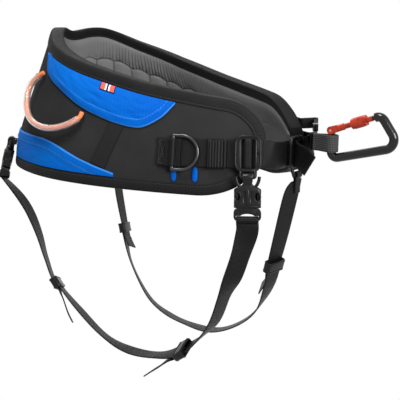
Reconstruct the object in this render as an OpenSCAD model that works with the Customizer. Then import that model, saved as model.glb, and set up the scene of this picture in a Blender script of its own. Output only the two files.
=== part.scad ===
// Padded trekking hip belt with two leg loops and a tow carabiner, in millimetres.
// Frame: +X is the wearer's front, +Y the wearer's left, +Z up; the origin is the centre
// of the waist opening. The belt is one developed sheet: s runs along it from the back
// centre, h is the height and w the distance outward from the outer shell's face.

/* [Belt plan] */
// Back centre, behind the origin
back_x = 234; // [225:1:245]
// Radius of the lumbar curve
back_r = 100; // [90:1:110]
// Turn of the lumbar curve on each side, degrees
back_turn = 30; // [28:1:32]
// Radius round the hip
hip_r = 150; // [145:1:155]
// Turn round the hip, degrees
hip_turn = 70; // [68:1:72]
// Radius along the side
side_r = 600; // [560:5:640]
// Turn along the side, degrees
side_turn = 15; // [13:1:17]
// Radius of the front wing
wing_r = 380; // [360:5:400]
// Turn of the front wing, degrees
wing_turn = 11; // [10:0.5:12]
// Outward lean of the belt, per mm of drop
flare = 0.37; // [0.34:0.01:0.40]

/* [Belt edges] */
// Top edge height at the back centre
top_back = 100; // [92:1:108]
// Top edge height at the hip
top_hip = 104; // [96:1:112]
// Top edge height where the hip turns forward
top_turn = 83; // [77:1:89]
// Top edge height half way along the side
top_side = 61; // [56:1:66]
// Top edge height behind the wing
top_wing = 41; // [37:1:45]
// Depth of the belt below the waist line
drop = 74; // [68:1:78]
// Height of the wing's tip
tip_h = -17; // [-20:1:-14]
// Rounding of the wing's upper corner
nose_top = 42; // [36:1:48]
// Rounding of the wing's lower corner
nose_low = 76; // [68:1:82]

/* [Belt layers] */
// Thickness of the outer shell
shell_t = 2; // [1.5:0.1:2.5]
// Thickness of the foam
foam_t = 10; // [8:0.5:12]
// Thickness of the lining
lining_t = 2; // [1.5:0.1:2.5]
// Depth of the edge binding
bind_d = 11; // [9:0.5:13]
// Thickness of the edge binding
bind_t = 1.1; // [0.9:0.1:1.4]
// Gap between layers
gap = 0.3; // [0.25:0.05:0.4]
// Thickness of the sewn panels
panel_t = 1.2; // [0.8:0.1:1.6]
// Puff of the pockets
pocket_puff = 4; // [2:0.5:6]

/* [Panels] */
// Rear end of the pocket, along the belt
pocket_rear = 143; // [138:1:148]
// Front end of the pocket
pocket_front = 363; // [355:1:370]
// Lowest point of the pocket
pocket_low = -6; // [-10:1:-3]
// Front point of the lower rear panel
rear_tip = 294; // [286:1:300]
// Rear end of the lower rear panel
rear_start = 62; // [55:1:70]
// Width of the diagonal band
band_w = 18; // [15:1:21]
// Width of the woven tag
tag_w = 21; // [18:1:24]
// Length of the woven tag below the binding
tag_l = 11; // [9:1:13]
// Width of a blue tab
tab_w = 6; // [5:0.5:7]
// Height of a blue tab
tab_h = 17; // [14:1:20]
// Spacing of the blue tabs
tab_pitch = 24; // [20:1:26]

/* [Webbing] */
// Width of the waist webbing
web_w = 32; // [30:1:33]
// Thickness of the waist webbing
web_t = 1.8; // [1.5:0.1:2]
// Height of the webbing line on the wing
web_h = -30.5; // [-32:0.5:-29]
// Where the side webbing starts
web_start = 346; // [342:1:350]
// Width of the leg webbing
leg_w = 25; // [22:1:26]
// Thickness of the leg webbing
leg_t = 1.7; // [1.4:0.1:1.9]
// Width of the tow webbing
tow_w = 19.4; // [18:0.2:19.6]

/* [Rings and buckles] */
// Where the side ring's bar lies, along the belt
ring_s = 365; // [364:1:366]
// Wire diameter of the side ring
ring_wire = 4; // [3.6:0.1:4.3]
// Reach of the side ring in front of its bar
ring_reach = 27; // [25:1:30]
// Where the elastic keeper lies
keeper_s = 414; // [412:1:416]
// Length of the elastic keeper along the belt
keeper_l = 21; // [19:1:22]
// Middle of the right plate buckle, along the belt
buckle_s = 447; // [446:1:448]
// Length of a plate buckle along the webbing
buckle_l = 30; // [29:1:31]
// Thickness of a plate buckle
buckle_t = 3.4; // [3:0.1:3.6]
// Margin of a plate buckle beside the webbing slot
buckle_margin = 4.5; // [4:0.5:5]
// Slot width in a plate buckle
slot_w = 5; // [4.8:0.1:5.4]
// Diameter of the buckle's lower bar
bar_d = 4.4; // [4:0.1:4.6]

/* [Clips] */
// Width of a leg clip
clip_w = 31; // [30.5:0.5:33]
// Thickness of a leg clip
clip_t = 11; // [10.5:0.5:12]
// Length of the clip's socket half
socket_l = 27; // [26:0.5:29]
// Wall of the clip
clip_wall = 2; // [1.8:0.1:2.2]
// Squeeze of each prong's tip, degrees
prong_turn = 5; // [4:0.5:6]

/* [Gear loop] */
// Diameter of the gear loop's cord
cord_d = 5.4; // [5:0.1:5.6]
// Outer diameter of its clear sheath
sheath_d = 8.4; // [8:0.1:8.6]

/* [Carabiner] */
// Rod diameter
rod_d = 10; // [9.6:0.1:10.2]
// Corner radius at the loop end
loop_r = 6.5; // [5.5:0.5:7]
// Corner radius at the far end
corner_r = 11; // [10:0.5:12]
// Corner radius at the nose
nose_r = 8; // [7:0.5:9]
// Gate rod diameter
gate_d = 6; // [5.6:0.1:6.2]
// Length of the gate from pivot to tip
gate_l = 50; // [49.5:0.5:50.5]
// Outer diameter of the lock sleeve
sleeve_d = 12.4; // [11.6:0.1:13]
// Length of the lock sleeve
sleeve_l = 17; // [16:0.5:18]
// Travel of the lock sleeve
sleeve_travel = 10; // [9:0.5:10.5]
// Diameter of the gate pin
pin_d = 2.4; // [2:0.1:2.6]
// Running clearance of the moving metal parts
run = 0.05; // [0.03:0.01:0.08]

/* [Hidden] */

PLAN = [[back_r, back_turn], [hip_r, hip_turn], [side_r, side_turn], [wing_r, wing_turn]];
function arc_len(a) = a[0]*a[1]*PI/180;
s_end = arc_len(PLAN[0]) + arc_len(PLAN[1]) + arc_len(PLAN[2]) + arc_len(PLAN[3]);
web_c = cos(atan(flare));              // foreshortening of a width laid on the lean
lean_h = -10;                          // the lean eases off below this height
lean_run = 140;                        // over twice the drop below it
step_s = 15;                           // spacing of the belt's stations

// ---- the belt's surface (the right half has s > 0, the left half is its mirror) ----
function walk(s, k, p, a) =
  let (r = PLAN[k][0], l = arc_len(PLAN[k]), q = k == 3 ? s : min(s, l),
       b = a - q/r*180/PI,
       e = [p[0] + r*(sin(a) - sin(b)), p[1] + r*(cos(b) - cos(a))])
  (k == 3 || s <= l) ? [e[0], e[1], b] : walk(s - q, k + 1, e, b);
function plan(s) = walk(s, 0, [-back_x, 0], 90);
function off(h) = h > lean_h ? -flare*h
  : let (d = lean_h - h) flare*(-lean_h + d - d*d/lean_run);
function lean(h) = h > lean_h ? flare : flare*(1 - 2*(lean_h - h)/lean_run);
function pt(s, h, w) =
  let (p = plan(abs(s)), o = w + off(h), y = -(p[1] + cos(p[2])*o))
  [p[0] - sin(p[2])*o, s < 0 ? -y : y, h];
function unit(v) = v/norm(v);
// the belt's own directions at a place: forward along it, up it, and outward
function ahead(s) = let (a = plan(s)[2]) [cos(a), -sin(a), 0];
function upward(s, h) = let (a = plan(s)[2], k = lean(h)) unit([sin(a)*k, cos(a)*k, 1]);
function outward(s, h) = cross(ahead(s), upward(s, h));

// a smooth curve through knots [x, y], level at the first
function slope(k, i) = i == 0 ? 0
  : i == len(k) - 1 ? (k[i][1] - k[i-1][1])/(k[i][0] - k[i-1][0])
  : (k[i+1][1] - k[i-1][1])/(k[i+1][0] - k[i-1][0]);
function seg(x, k, i = 0) = (i >= len(k) - 2 || x <= k[i+1][0]) ? i : seg(x, k, i + 1);
function smooth(x, k) =
  let (i = seg(x, k), d = k[i+1][0] - k[i][0], t = min(max((x - k[i][0])/d, 0), 1))
  (2*t*t*t - 3*t*t + 1)*k[i][1] + (t*t*t - 2*t*t + t)*slope(k, i)*d
  + (3*t*t - 2*t*t*t)*k[i+1][1] + (t*t*t - t*t)*slope(k, i+1)*d;

TOP = [[0, top_back], [80, top_hip], [160, top_turn], [245, top_side], [330, top_wing],
       [s_end, top_wing - 22]];
LOW = [[0, -drop], [140, 5 - drop], [280, -drop], [s_end, -drop - 5]];
function nose(s, r) = let (q = max(0, (s - (s_end - r))/r)) sqrt(max(0, 1 - q*q));
function top(s) = tip_h + (smooth(abs(s), TOP) - tip_h)*nose(abs(s), nose_top);
function low(s) = tip_h + (smooth(abs(s), LOW) - tip_h)*nose(abs(s), nose_low);

// stations along the belt, closer together round the wing's tip
tip_flat = 0.6;
STATIONS = let (n = ceil((s_end - nose_top)/step_s))
  concat([for (i = [0:n - 1]) (s_end - nose_top)*i/n],
         [for (a = [0:10:80]) s_end - nose_top + (nose_top - tip_flat)*sin(a*90/80)]);
SPAN = concat([for (i = [len(STATIONS) - 1:-1:1]) -STATIONS[i]], STATIONS);

// a closed slab over a grid: f(u, v) gives [s, h]; w0 and w1 give its two faces
module slab(us, vs, f, w0, w1) {
  nu = len(us);
  nv = len(vs);
  side = [for (z = [0, 1]) for (u = us) for (v = vs)
          let (q = f(u, v)) pt(q[0], q[1], z == 0 ? w0(u, v) : w1(u, v))];
  function id(z, i, j) = (z*nu + i)*nv + j;
  faces = concat(
    [for (i = [0:nu-2]) for (j = [0:nv-2]) each [
      [id(1,i,j), id(1,i+1,j+1), id(1,i+1,j)], [id(1,i,j), id(1,i,j+1), id(1,i+1,j+1)],
      [id(0,i,j), id(0,i+1,j), id(0,i+1,j+1)], [id(0,i,j), id(0,i+1,j+1), id(0,i,j+1)]]],
    [for (i = [0:nu-2]) each [
      [id(0,i,0), id(1,i+1,0), id(0,i+1,0)], [id(0,i,0), id(1,i,0), id(1,i+1,0)],
      [id(0,i,nv-1), id(0,i+1,nv-1), id(1,i+1,nv-1)],
      [id(0,i,nv-1), id(1,i+1,nv-1), id(1,i,nv-1)]]],
    [for (j = [0:nv-2]) each [
      [id(0,0,j), id(1,0,j+1), id(1,0,j)], [id(0,0,j), id(0,0,j+1), id(1,0,j+1)],
      [id(0,nu-1,j), id(1,nu-1,j), id(1,nu-1,j+1)],
      [id(0,nu-1,j), id(1,nu-1,j+1), id(0,nu-1,j+1)]]]);
  polyhedron(side, faces, convexity = 8);
}
function evenly(a, b, n) = [for (i = [0:n]) a + (b - a)*i/n];

module right() { children(); }
module left() { mirror([0, 1, 0]) children(); }

// place children on the belt: x forward along it, y up it, z outward
module on_belt(s, h, w) {
  p = pt(s, h, w);
  t = ahead(s);
  u = upward(s, h);
  n = outward(s, h);
  multmatrix([[t[0], u[0], n[0], p[0]], [t[1], u[1], n[1], p[1]],
              [t[2], u[2], n[2], p[2]], [0, 0, 0, 1]]) children();
}

// ---- belt layers ----
ROWS = [0, 0.08, 0.17, 0.28, 0.42, 0.7, 1];
shell_in = -shell_t;
foam_out = shell_in - gap;
foam_in = foam_out - foam_t;
lining_out = foam_in - gap;
lining_in = lining_out - lining_t;
module belt_layer(w0, w1, inset) {
  m = s_end - tip_flat - inset;
  us = [for (s = SPAN) s*m/(s_end - tip_flat)];
  slab(us, ROWS, function (s, t) let (a = low(s) + inset, b = top(s) - inset) [s, a + (b - a)*t],
       function (u, v) w0, function (u, v) w1);
}
module outer_shell() { color([0.16, 0.16, 0.17]) belt_layer(shell_in, 0, 0); }
module foam_core() { color([0.35, 0.35, 0.35]) belt_layer(foam_in, foam_out, 1.5); }
module inner_lining() { color([0.42, 0.42, 0.43]) belt_layer(lining_in, lining_out, 0); }

// the binding tape is folded over the edge all the way round the outline
OUTLINE = concat([for (s = SPAN) [s, top(s)]],
                 [for (i = [len(SPAN) - 1:-1:0]) [SPAN[i], low(SPAN[i])]]);
module edge_binding() {
  n = len(OUTLINE);
  e = gap;
  o = gap + bind_t;
  wi = lining_in;
  SEC = [[bind_d, o], [0, o], [-o, 0.2], [-o, wi - 0.2], [0, wi - o], [bind_d, wi - o],
         [bind_d, wi - e], [-e, wi - e], [-e, e], [bind_d, e]];
  m = len(SEC);
  pts = [for (i = [0:n - 1])
    let (a = OUTLINE[(i + n - 1) % n], b = OUTLINE[(i + 1) % n], c = OUTLINE[i],
         t = unit(b - a), d = [t[1], -t[0]])
    for (q = SEC) pt(c[0] + d[0]*q[0], c[1] + d[1]*q[0], q[1])];
  color([0.1, 0.1, 0.11]) polyhedron(pts,
    [for (i = [0:n - 1]) for (j = [0:m - 1]) each [
      [i*m + j, i*m + (j+1)%m, ((i+1)%n)*m + (j+1)%m],
      [i*m + j, ((i+1)%n)*m + (j+1)%m, ((i+1)%n)*m + j]]], convexity = 8);
}

// ---- sewn panels ----
skin = gap + 0.15;                     // the panels' gap to the facets of the shell
hem = bind_d + 1.2;                    // the panels stop short of the binding
POCKET = [[pocket_rear, 74], [pocket_rear + 18, 53], [205, 32], [255, 9],
          [318, pocket_low], [pocket_front - 17, 5], [pocket_front, 22]];
function pocket_edge(s) = smooth(s, POCKET);
function pocket_top(s) = top(s) - hem;
function pocket_low_edge(s) = min(pocket_edge(s), pocket_top(s) - 1.5);
function pocket_out(s, v) = skin + panel_t + pocket_puff*sin(180*v)
  * sin(180*(s - pocket_rear)/(pocket_front - pocket_rear));
module pocket() {
  us = concat([pocket_rear + 2], evenly(pocket_rear + 9, pocket_front - 9, 14),
              [pocket_front - 4, pocket_front - 1]);
  slab(us, evenly(0, 1, 6),
       function (s, t) let (a = pocket_low_edge(s), b = pocket_top(s)) [s, a + (b - a)*t],
       function (u, v) skin, function (u, v) pocket_out(u, v));
}
module pocket_right() { color([0.05, 0.36, 0.8]) right() pocket(); }
module pocket_left() { color([0.05, 0.36, 0.8]) left() pocket(); }

REAR = [[rear_start, -25], [160, -24], [205, -28], [250, -45], [rear_tip, 15.5 - drop]];
module rear_panel() {
  slab(concat(evenly(rear_start, rear_tip - 4, 17), [rear_tip]), evenly(0, 1, 4),
       function (s, t) let (a = low(s) + hem, b = max(smooth(s, REAR), a + 1)) [s, a + (b - a)*t],
       function (u, v) skin, function (u, v) skin + panel_t);
}
module rear_panel_right() { color([0.05, 0.36, 0.8]) right() rear_panel(); }
module rear_panel_left() { color([0.05, 0.36, 0.8]) left() rear_panel(); }

// the band runs from under the pocket down to the rear panel, leaning back as it drops
band_top = 293;
band_lean = 0.4;
module band() {
  slab([0, 1/3, 2/3, 1], evenly(0, 1, 5),
       function (u, v) let (s1 = band_top + band_w*(u - 0.5), h1 = pocket_edge(s1) - 1,
                            g = -53 - 4*u, h0 = max(smooth(s1 + band_lean*(g - h1), REAR) + 1.5, g),
                            h = h0 + (h1 - h0)*v) [s1 + band_lean*(h - h1), h],
       function (u, v) skin, function (u, v) skin + panel_t);
}
module band_right() { color([0.1, 0.1, 0.11]) right() band(); }
module band_left() { color([0.1, 0.1, 0.11]) left() band(); }

tab_s = 366;
tab_mid = -55;
module tabs() {
  for (i = [0, 1]) on_belt(tab_s + tab_pitch*i, tab_mid, skin)
    translate([-tab_w/2, -tab_h/2, 0]) cube([tab_w, tab_h, panel_t]);
}
module tabs_right() { color([0.05, 0.36, 0.8]) right() tabs(); }
module tabs_left() { color([0.05, 0.36, 0.8]) left() tabs(); }

// the woven tag hangs from the binding over the pocket
tag_s = 276;
tag_t = 0.9;
module woven_tag() {
  // how far up the pocket a point of the tag lies
  function up(s, t) = 1 - tag_l*(1 - t)/(pocket_top(s) - pocket_low_edge(s));
  color([0.85, 0.3, 0.2]) slab(evenly(tag_s - tag_w/2, tag_s + tag_w/2, 3), evenly(0, 1, 3),
    function (s, t) [s, pocket_top(s) - tag_l*(1 - t)],
    function (s, t) pocket_out(s, up(s, t)) + gap,
    function (s, t) pocket_out(s, up(s, t)) + gap + tag_t);
}

// ---- gear loop: a cord in a clear sheath, in belt coordinates [s, h, w] ----
GEAR = [[157.5, 51, 4.8], [152, 48, 7], [143.5, 40, 10.5], [142.5, 30, 12.5], [149, 19, 13.5],
        [157, 9.5, 14], [169, 0.5, 14], [183, -6.5, 13.5], [197, -10, 13], [210, -11, 12],
        [222, -9, 11], [232, -5.5, 9.5], [240, -1, 7.5], [245.5, 3.5, 5.6], [247, 8.8, 4.8]];
function knot(r, i) = r[min(max(i, 0), len(r) - 1)];
function catmull(r, x) =
  let (i = min(floor(x), len(r) - 2), t = x - i,
       a = knot(r, i-1), b = knot(r, i), c = knot(r, i+1), d = knot(r, i+2))
  0.5*(2*b + (c - a)*t + (2*a - 5*b + 4*c - d)*t*t + (3*b - a - 3*c + d)*t*t*t);
function sampled(r, k) = [for (i = [0:k*(len(r) - 1)]) catmull(r, i/k)];
function tangent(p, i) = unit(p[min(i + 1, len(p) - 1)] - p[max(i - 1, 0)]);
module tube(p, r0, r1, sides) {
  n = len(p);
  pts = [for (r = [r1, r0]) for (i = [0:n - 1])
    let (t = tangent(p, i), a = unit(cross(t, [0.3, 0.2, 1])), b = cross(t, a))
    for (k = [0:sides - 1]) p[i] + r*(a*cos(360*k/sides) + b*sin(360*k/sides))];
  function id(z, i, k) = (z*n + i)*sides + k % sides;
  ends = r0 > 0
    ? [for (k = [0:sides - 1]) each [
        [id(0,0,k), id(1,0,k+1), id(1,0,k)], [id(0,0,k), id(0,0,k+1), id(1,0,k+1)],
        [id(0,n-1,k), id(1,n-1,k), id(1,n-1,k+1)], [id(0,n-1,k), id(1,n-1,k+1), id(0,n-1,k+1)]]]
    : [[for (k = [0:sides - 1]) id(0,0,k)], [for (k = [0:sides - 1]) id(0,n-1,sides-1-k)]];
  polyhedron(r0 > 0 ? pts : [for (i = [0:n*sides - 1]) pts[i]],
    concat(ends, [for (z = r0 > 0 ? [0, 1] : [0]) for (i = [0:n - 2]) for (k = [0:sides - 1])
      each z == 0
        ? [[id(0,i,k), id(0,i+1,k+1), id(0,i,k+1)], [id(0,i,k), id(0,i+1,k), id(0,i+1,k+1)]]
        : [[id(1,i,k), id(1,i,k+1), id(1,i+1,k+1)], [id(1,i,k), id(1,i+1,k+1), id(1,i+1,k)]]]),
    convexity = 8);
}
GEAR_PATH = [for (q = sampled(GEAR, 2)) pt(q[0], q[1], q[2])];
module gear_cord_right() { color([0.95, 0.6, 0.4]) right() tube(GEAR_PATH, 0, cord_d/2, 10); }
module gear_cord_left() { color([0.95, 0.6, 0.4]) left() tube(GEAR_PATH, 0, cord_d/2, 10); }
module gear_sheath_right() {
  color([0.9, 0.9, 0.9, 0.5]) right() tube(GEAR_PATH, cord_d/2 + gap, sheath_d/2, 10);
}
module gear_sheath_left() {
  color([0.9, 0.9, 0.9, 0.5]) left() tube(GEAR_PATH, cord_d/2 + gap, sheath_d/2, 10);
}

// ---- side webbing, ring and keeper ----
web_out = skin + web_t;
half_h = web_w/2*web_c;
// in front of the keeper the webbing climbs over the binding
over = 2*gap + bind_t;
web_lift = over - skin;
lift_s = keeper_s + keeper_l/2 + 1;
lift_l = 7;
fold_in = 2.9;                         // half the gap inside webbing folded over a bar
fold_out = fold_in + web_t;
module side_strap(last) {
  slab(concat(evenly(web_start, lift_s, 5), evenly(lift_s + lift_l, last, 3)), evenly(0, 1, 2),
       function (s, t) [s, web_h + half_h*(2*t - 1)],
       function (s, t) s > lift_s ? over : skin, function (s, t) s > lift_s ? over + web_t : web_out);
}
// webbing folded over a plate buckle's middle bar, in the buckle's own axes
module bar_fold(wide) {
  rotate([90, 0, 0]) linear_extrude(wide, center = true) difference() {
    translate([-fold_out, -gap - web_t]) square([2*fold_out, buckle_t + 2*gap + 2*web_t]);
    translate([-fold_in, -gap]) square([2*fold_in, buckle_t + 2*gap]);
  }
}
ring_w = web_out + ring_wire/2 + gap;  // height of the ring's bar above the shell
loop_in = ring_wire/2 + gap;
loop_out = loop_in + web_t;
foot = 5;
// webbing folded over the ring's bar: a hump with a foot on either side
module ring_loop() {
  on_belt(ring_s, web_h, ring_w) rotate([90, 0, 0]) translate([0, 0, -web_w/2])
    linear_extrude(web_w) {
      base = -ring_wire/2 + 0.05;
      difference() {
        union() {
          circle(loop_out, $fn = 48);
          translate([-loop_out, base]) square([2*loop_out, -base]);
          translate([-loop_out - foot, base]) square([2*(loop_out + foot), web_t]);
        }
        circle(loop_in, $fn = 48);
        translate([-loop_in, base - 1]) square([2*loop_in, 1 - base]);
        translate([-50, base - 50]) square([100, 50]);
      }
    }
}
module ring_loop_right() { color([0.12, 0.12, 0.13]) right() ring_loop(); }
module ring_loop_left() { color([0.12, 0.12, 0.13]) left() ring_loop(); }

ring_in = web_w/2 + 1.2;               // half the clear width inside the ring
ring_c = ring_in + ring_wire/2;        // half the width to the wire's centre
module ring() {
  on_belt(ring_s, web_h, ring_w) {
    straight = ring_reach - ring_c*0.9;
    rotate([90, 0, 0]) cylinder(h = 2*ring_c, d = ring_wire, center = true, $fn = 32);
    for (k = [-1, 1]) translate([0, k*ring_c, 0]) {
      sphere(d = ring_wire, $fn = 32);
      rotate([0, 90, 0]) cylinder(h = straight, d = ring_wire, $fn = 32);
    }
    translate([straight, 0, 0]) rotate([0, 0, -90])
      rotate_extrude(angle = 180, $fn = 64) translate([ring_c, 0]) circle(d = ring_wire, $fn = 32);
  }
}
module ring_right() { color([0.2, 0.2, 0.21]) right() ring(); }
module ring_left() { color([0.2, 0.2, 0.21]) left() ring(); }

// elastic keeper: folded layers that step down toward the front
module keeper() {
  on_belt(keeper_s, web_h, web_out + gap) rotate([90, 0, 0])
    translate([0, 0, -web_w/2]) linear_extrude(web_w) {
      translate([-keeper_l/2, 0]) square([keeper_l, web_t]);
      translate([-keeper_l/2, 0]) square([keeper_l*0.7, 2*web_t]);
      translate([keeper_l/2 - web_t, web_t]) circle(web_t, $fn = 32);
    }
}
module keeper_right() { color([0.14, 0.14, 0.15]) right() keeper(); }
module keeper_left() { color([0.14, 0.14, 0.15]) left() keeper(); }

// ---- plate buckles ----
buckle_h = web_w + 2*buckle_margin;
module round_rect(a, b, r) {
  square([a - 2*r, b], center = true);
  square([a, b - 2*r], center = true);
  for (x = [-1, 1]) for (y = [-1, 1]) translate([x*(a/2 - r), y*(b/2 - r)]) circle(r, $fn = 48);
}
slot_x = slot_w/2 + 2.6;               // slot centres either side of the middle bar
eye_x = buckle_l/2 - 4.2;
hook_bore = bar_d/2 + 0.7;
hook_r = hook_bore + 2.4;
bar_y = -buckle_h/2 - hook_r - 0.5;    // the lower bar, under the plate and cranked outward
bar_out = 2.6;
bar_z = buckle_t/2 + bar_out;
bar_half = 8;
module plate_buckle() {
  difference() {
    linear_extrude(buckle_t) round_rect(buckle_l, buckle_h, 8);
    for (k = [-1, 1]) translate([k*slot_x, 0, -1])
      linear_extrude(buckle_t + 2) square([slot_w, web_w + 1], center = true);
    translate([eye_x, 0, -1]) cylinder(h = buckle_t + 2, d = 2, $fn = 32);
  }
  arm = -bar_y - buckle_h/2 + 2.2;
  translate([0, bar_y, bar_z]) {
    rotate([0, 90, 0]) cylinder(h = 2*bar_half, d = bar_d, center = true, $fn = 32);
    for (k = [-1, 1]) translate([k*bar_half, 0, 0]) {
      sphere(d = bar_d, $fn = 32);
      rotate([-90 - atan(bar_out/arm), 0, 0]) cylinder(h = norm([arm, bar_out]), d = bar_d, $fn = 32);
    }
  }
}
buckle_w = web_out + web_lift + gap;   // underside of the right buckle above the shell
// what hangs between the wings is placed for tips at TIPS, and goes with the real tips
over_mid = over + web_t/2;
wing_tip = pt(s_end + 1, web_h, over_mid);
TIPS = [155.84, 48.38];
function between(p) = [p[0] + wing_tip[0] - TIPS[0], -p[1]*wing_tip[1]/TIPS[1], p[2]];
function hung(route) = [for (q = route) [between(q[0]), q[1]]];
// the left buckle hangs on the bridge
lb_pos = between([154, 20, -38]);
lb_turn = 86;
module at_left_buckle() { translate(lb_pos) rotate([90, 0, lb_turn]) children(); }
module plate_buckle_right() {
  color([0.13, 0.13, 0.14]) on_belt(buckle_s, web_h, buckle_w) plate_buckle();
}
module plate_buckle_left() { color([0.13, 0.13, 0.14]) at_left_buckle() plate_buckle(); }

// ---- webbing ribbons: a route of [point, width direction] ----
module ribbon(route, wide, thick, k, shift = 0, first = 0, last = undef) {
  p = sampled([for (q = route) q[0]], k);
  v = sampled([for (q = route) q[1]], k);
  i0 = first*k;
  i1 = is_undef(last) ? len(p) - 1 : last*k;
  n = i1 - i0 + 1;
  pts = [for (i = [i0:i1])
    let (t = tangent(p, i), a = unit(v[i] - (v[i]*t)*t), b = cross(t, a))
    for (c = [[-1, -1], [1, -1], [1, 1], [-1, 1]])
      p[i] + a*c[0]*wide/2 + b*(c[1]*thick/2 + shift)];
  polyhedron(pts, concat([[0, 1, 2, 3], [for (k = [0:3]) n*4 - 1 - k]],
    [for (i = [0:n - 2]) for (j = [0:3]) each [
      [i*4 + j, (i+1)*4 + (j+1)%4, i*4 + (j+1)%4], [i*4 + j, (i+1)*4 + j, (i+1)*4 + (j+1)%4]]]),
    convexity = 6);
}

UP = [0, 0, 1];
function flip(v) = [v[0], -v[1], v[2]];
bridge_start = buckle_s + fold_out + 0.8;
B_UP = upward(s_end, web_h);
BRIDGE = concat([for (s = [bridge_start, bridge_start + 6, s_end + 1]) [pt(s, web_h, over_mid), B_UP]],
  hung([[[160.4, -42, -32.5], UP], [[161, -32, -34], UP], [[158.6, -19, -35.5], UP],
        [[154.6, -6, -37], UP], [[151.6, 4.5, -38], UP], [[152.4, 15.6, -38], UP]]));
TAIL = hung([[[158.6, 20, -37], UP], [[159.8, 14, -37.5], UP], [[163, 10, -39], [0.2, 0, 1]],
             [[172, 7, -42], [0.5, 0, 1]], [[184, 2, -49], [0.6, 0, 1]]]);
module side_strap_right() {
  color([0.12, 0.12, 0.13]) right() {
    side_strap(buckle_s - fold_out + 0.1);
    on_belt(buckle_s, web_h, buckle_w) bar_fold(web_w);
  }
}
module bridge_strap() {
  color([0.12, 0.12, 0.13]) {
    ribbon(BRIDGE, web_w - 1, web_t, 4);
    ribbon(TAIL, web_w - 5, web_t, 4);
    at_left_buckle() bar_fold(web_w - 1);
  }
}
anchor_w = over + web_t + gap + web_t/2;
A_UP = flip(B_UP);
ANCHOR = concat(
  hung([[[152.7, 25.4, -38], UP], [[153.2, 34, -38], UP], [[158, 40, -36], UP],
        [[161.5, 45.5, -33], UP], [[160.5, 50.5, -31.5], A_UP]]),
  [for (d = [1, 8, 15]) [pt(d - s_end, web_h, anchor_w), A_UP]]);
module side_strap_left() {
  color([0.12, 0.12, 0.13]) {
    left() side_strap(s_end - 8);
    ribbon(ANCHOR, web_w - 3, web_t, 4);
  }
}
TOW = hung([[[164.3, 53, -25], UP], [[164.8, 47, -25], UP], [[168.5, 38, -24], [0, 0.3, 1]],
            [[175, 25, -22.5], [0, 0.5, 1]], [[180, 13, -20.5], [0, 0.2, 1]],
            [[184, 4, -19.6], UP], [[187.6, 0.8, -19.6], UP]]);
SPARE = hung([[[163, 56, -5], UP], [[167, 44, -4.5], UP], [[173, 32, -6.6], UP],
              [[178.6, 23, -6.7], UP]]);
module tow_strap() {
  color([0.12, 0.12, 0.13]) { ribbon(TOW, tow_w, 2*web_t, 5); ribbon(SPARE, 7, 1.6, 4); }
}

// small slider that holds the tow webbing's spare end, above it
module tow_slider() {
  color([0.25, 0.25, 0.26]) translate(between([178, 24, -6.7])) rotate([0, 0, -58]) {
    difference() {
      cube([11, 6, 8.4], center = true);
      cube([12, 2.6, 7.4], center = true);
    }
  }
}

// ---- carabiner, in the X-Z plane ----
pivot = [between([211, 0, 0])[0], -4.8];
gate_a = 19;                           // rise of the gate, degrees
gate_dir = [cos(gate_a), sin(gate_a)];
COR_A = [pivot[0], -37];               // lower corner at the loop
COR_B = pivot + [79, -12.2];           // lower corner at the far end
COR_C = pivot + (gate_l + 10)*gate_dir;// corner above the nose
nose_end = pivot + (gate_l + gap)*gate_dir;
stub_end = pivot + (gate_l + 3.5)*gate_dir;
neck = pivot - [0, 6.5];               // where the rod narrows to its tongue
// a straight rod that runs a little into the bends at its ends
weld = 0.25;
module rod(a, b, d, into = weld) {
  v = b - a;
  translate([a[0], 0, a[1]]) rotate([0, atan2(v[0], v[1]), 0]) translate([0, 0, -into])
    cylinder(h = norm(v) + 2*into, d = d, $fn = 48);
}
// a bend of radius r at corner c, between points a and b
function bend_in(a, c, b, r) =
  let (u = unit(a - c), v = unit(b - c), g = acos(u*v)) c + u*r/tan(g/2);
module bend(a, c, b, r, d) {
  u = unit(a - c);
  v = unit(b - c);
  g = acos(u*v);
  m = c + unit(u + v)*r/sin(g/2);
  p = bend_in(a, c, b, r);
  q = bend_in(b, c, a, r);
  a0 = atan2(p[1] - m[1], p[0] - m[0]);
  a1 = atan2(q[1] - m[1], q[0] - m[0]);
  sweep = (a1 - a0 + 720) % 360;
  translate([m[0], 0, m[1]]) rotate([90, 0, 0]) mirror([0, 0, 1]) rotate([0, 0, a0])
    rotate_extrude(angle = sweep, $fn = 96) translate([r, 0]) circle(d = d - 0.1, $fn = 48);
}
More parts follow.
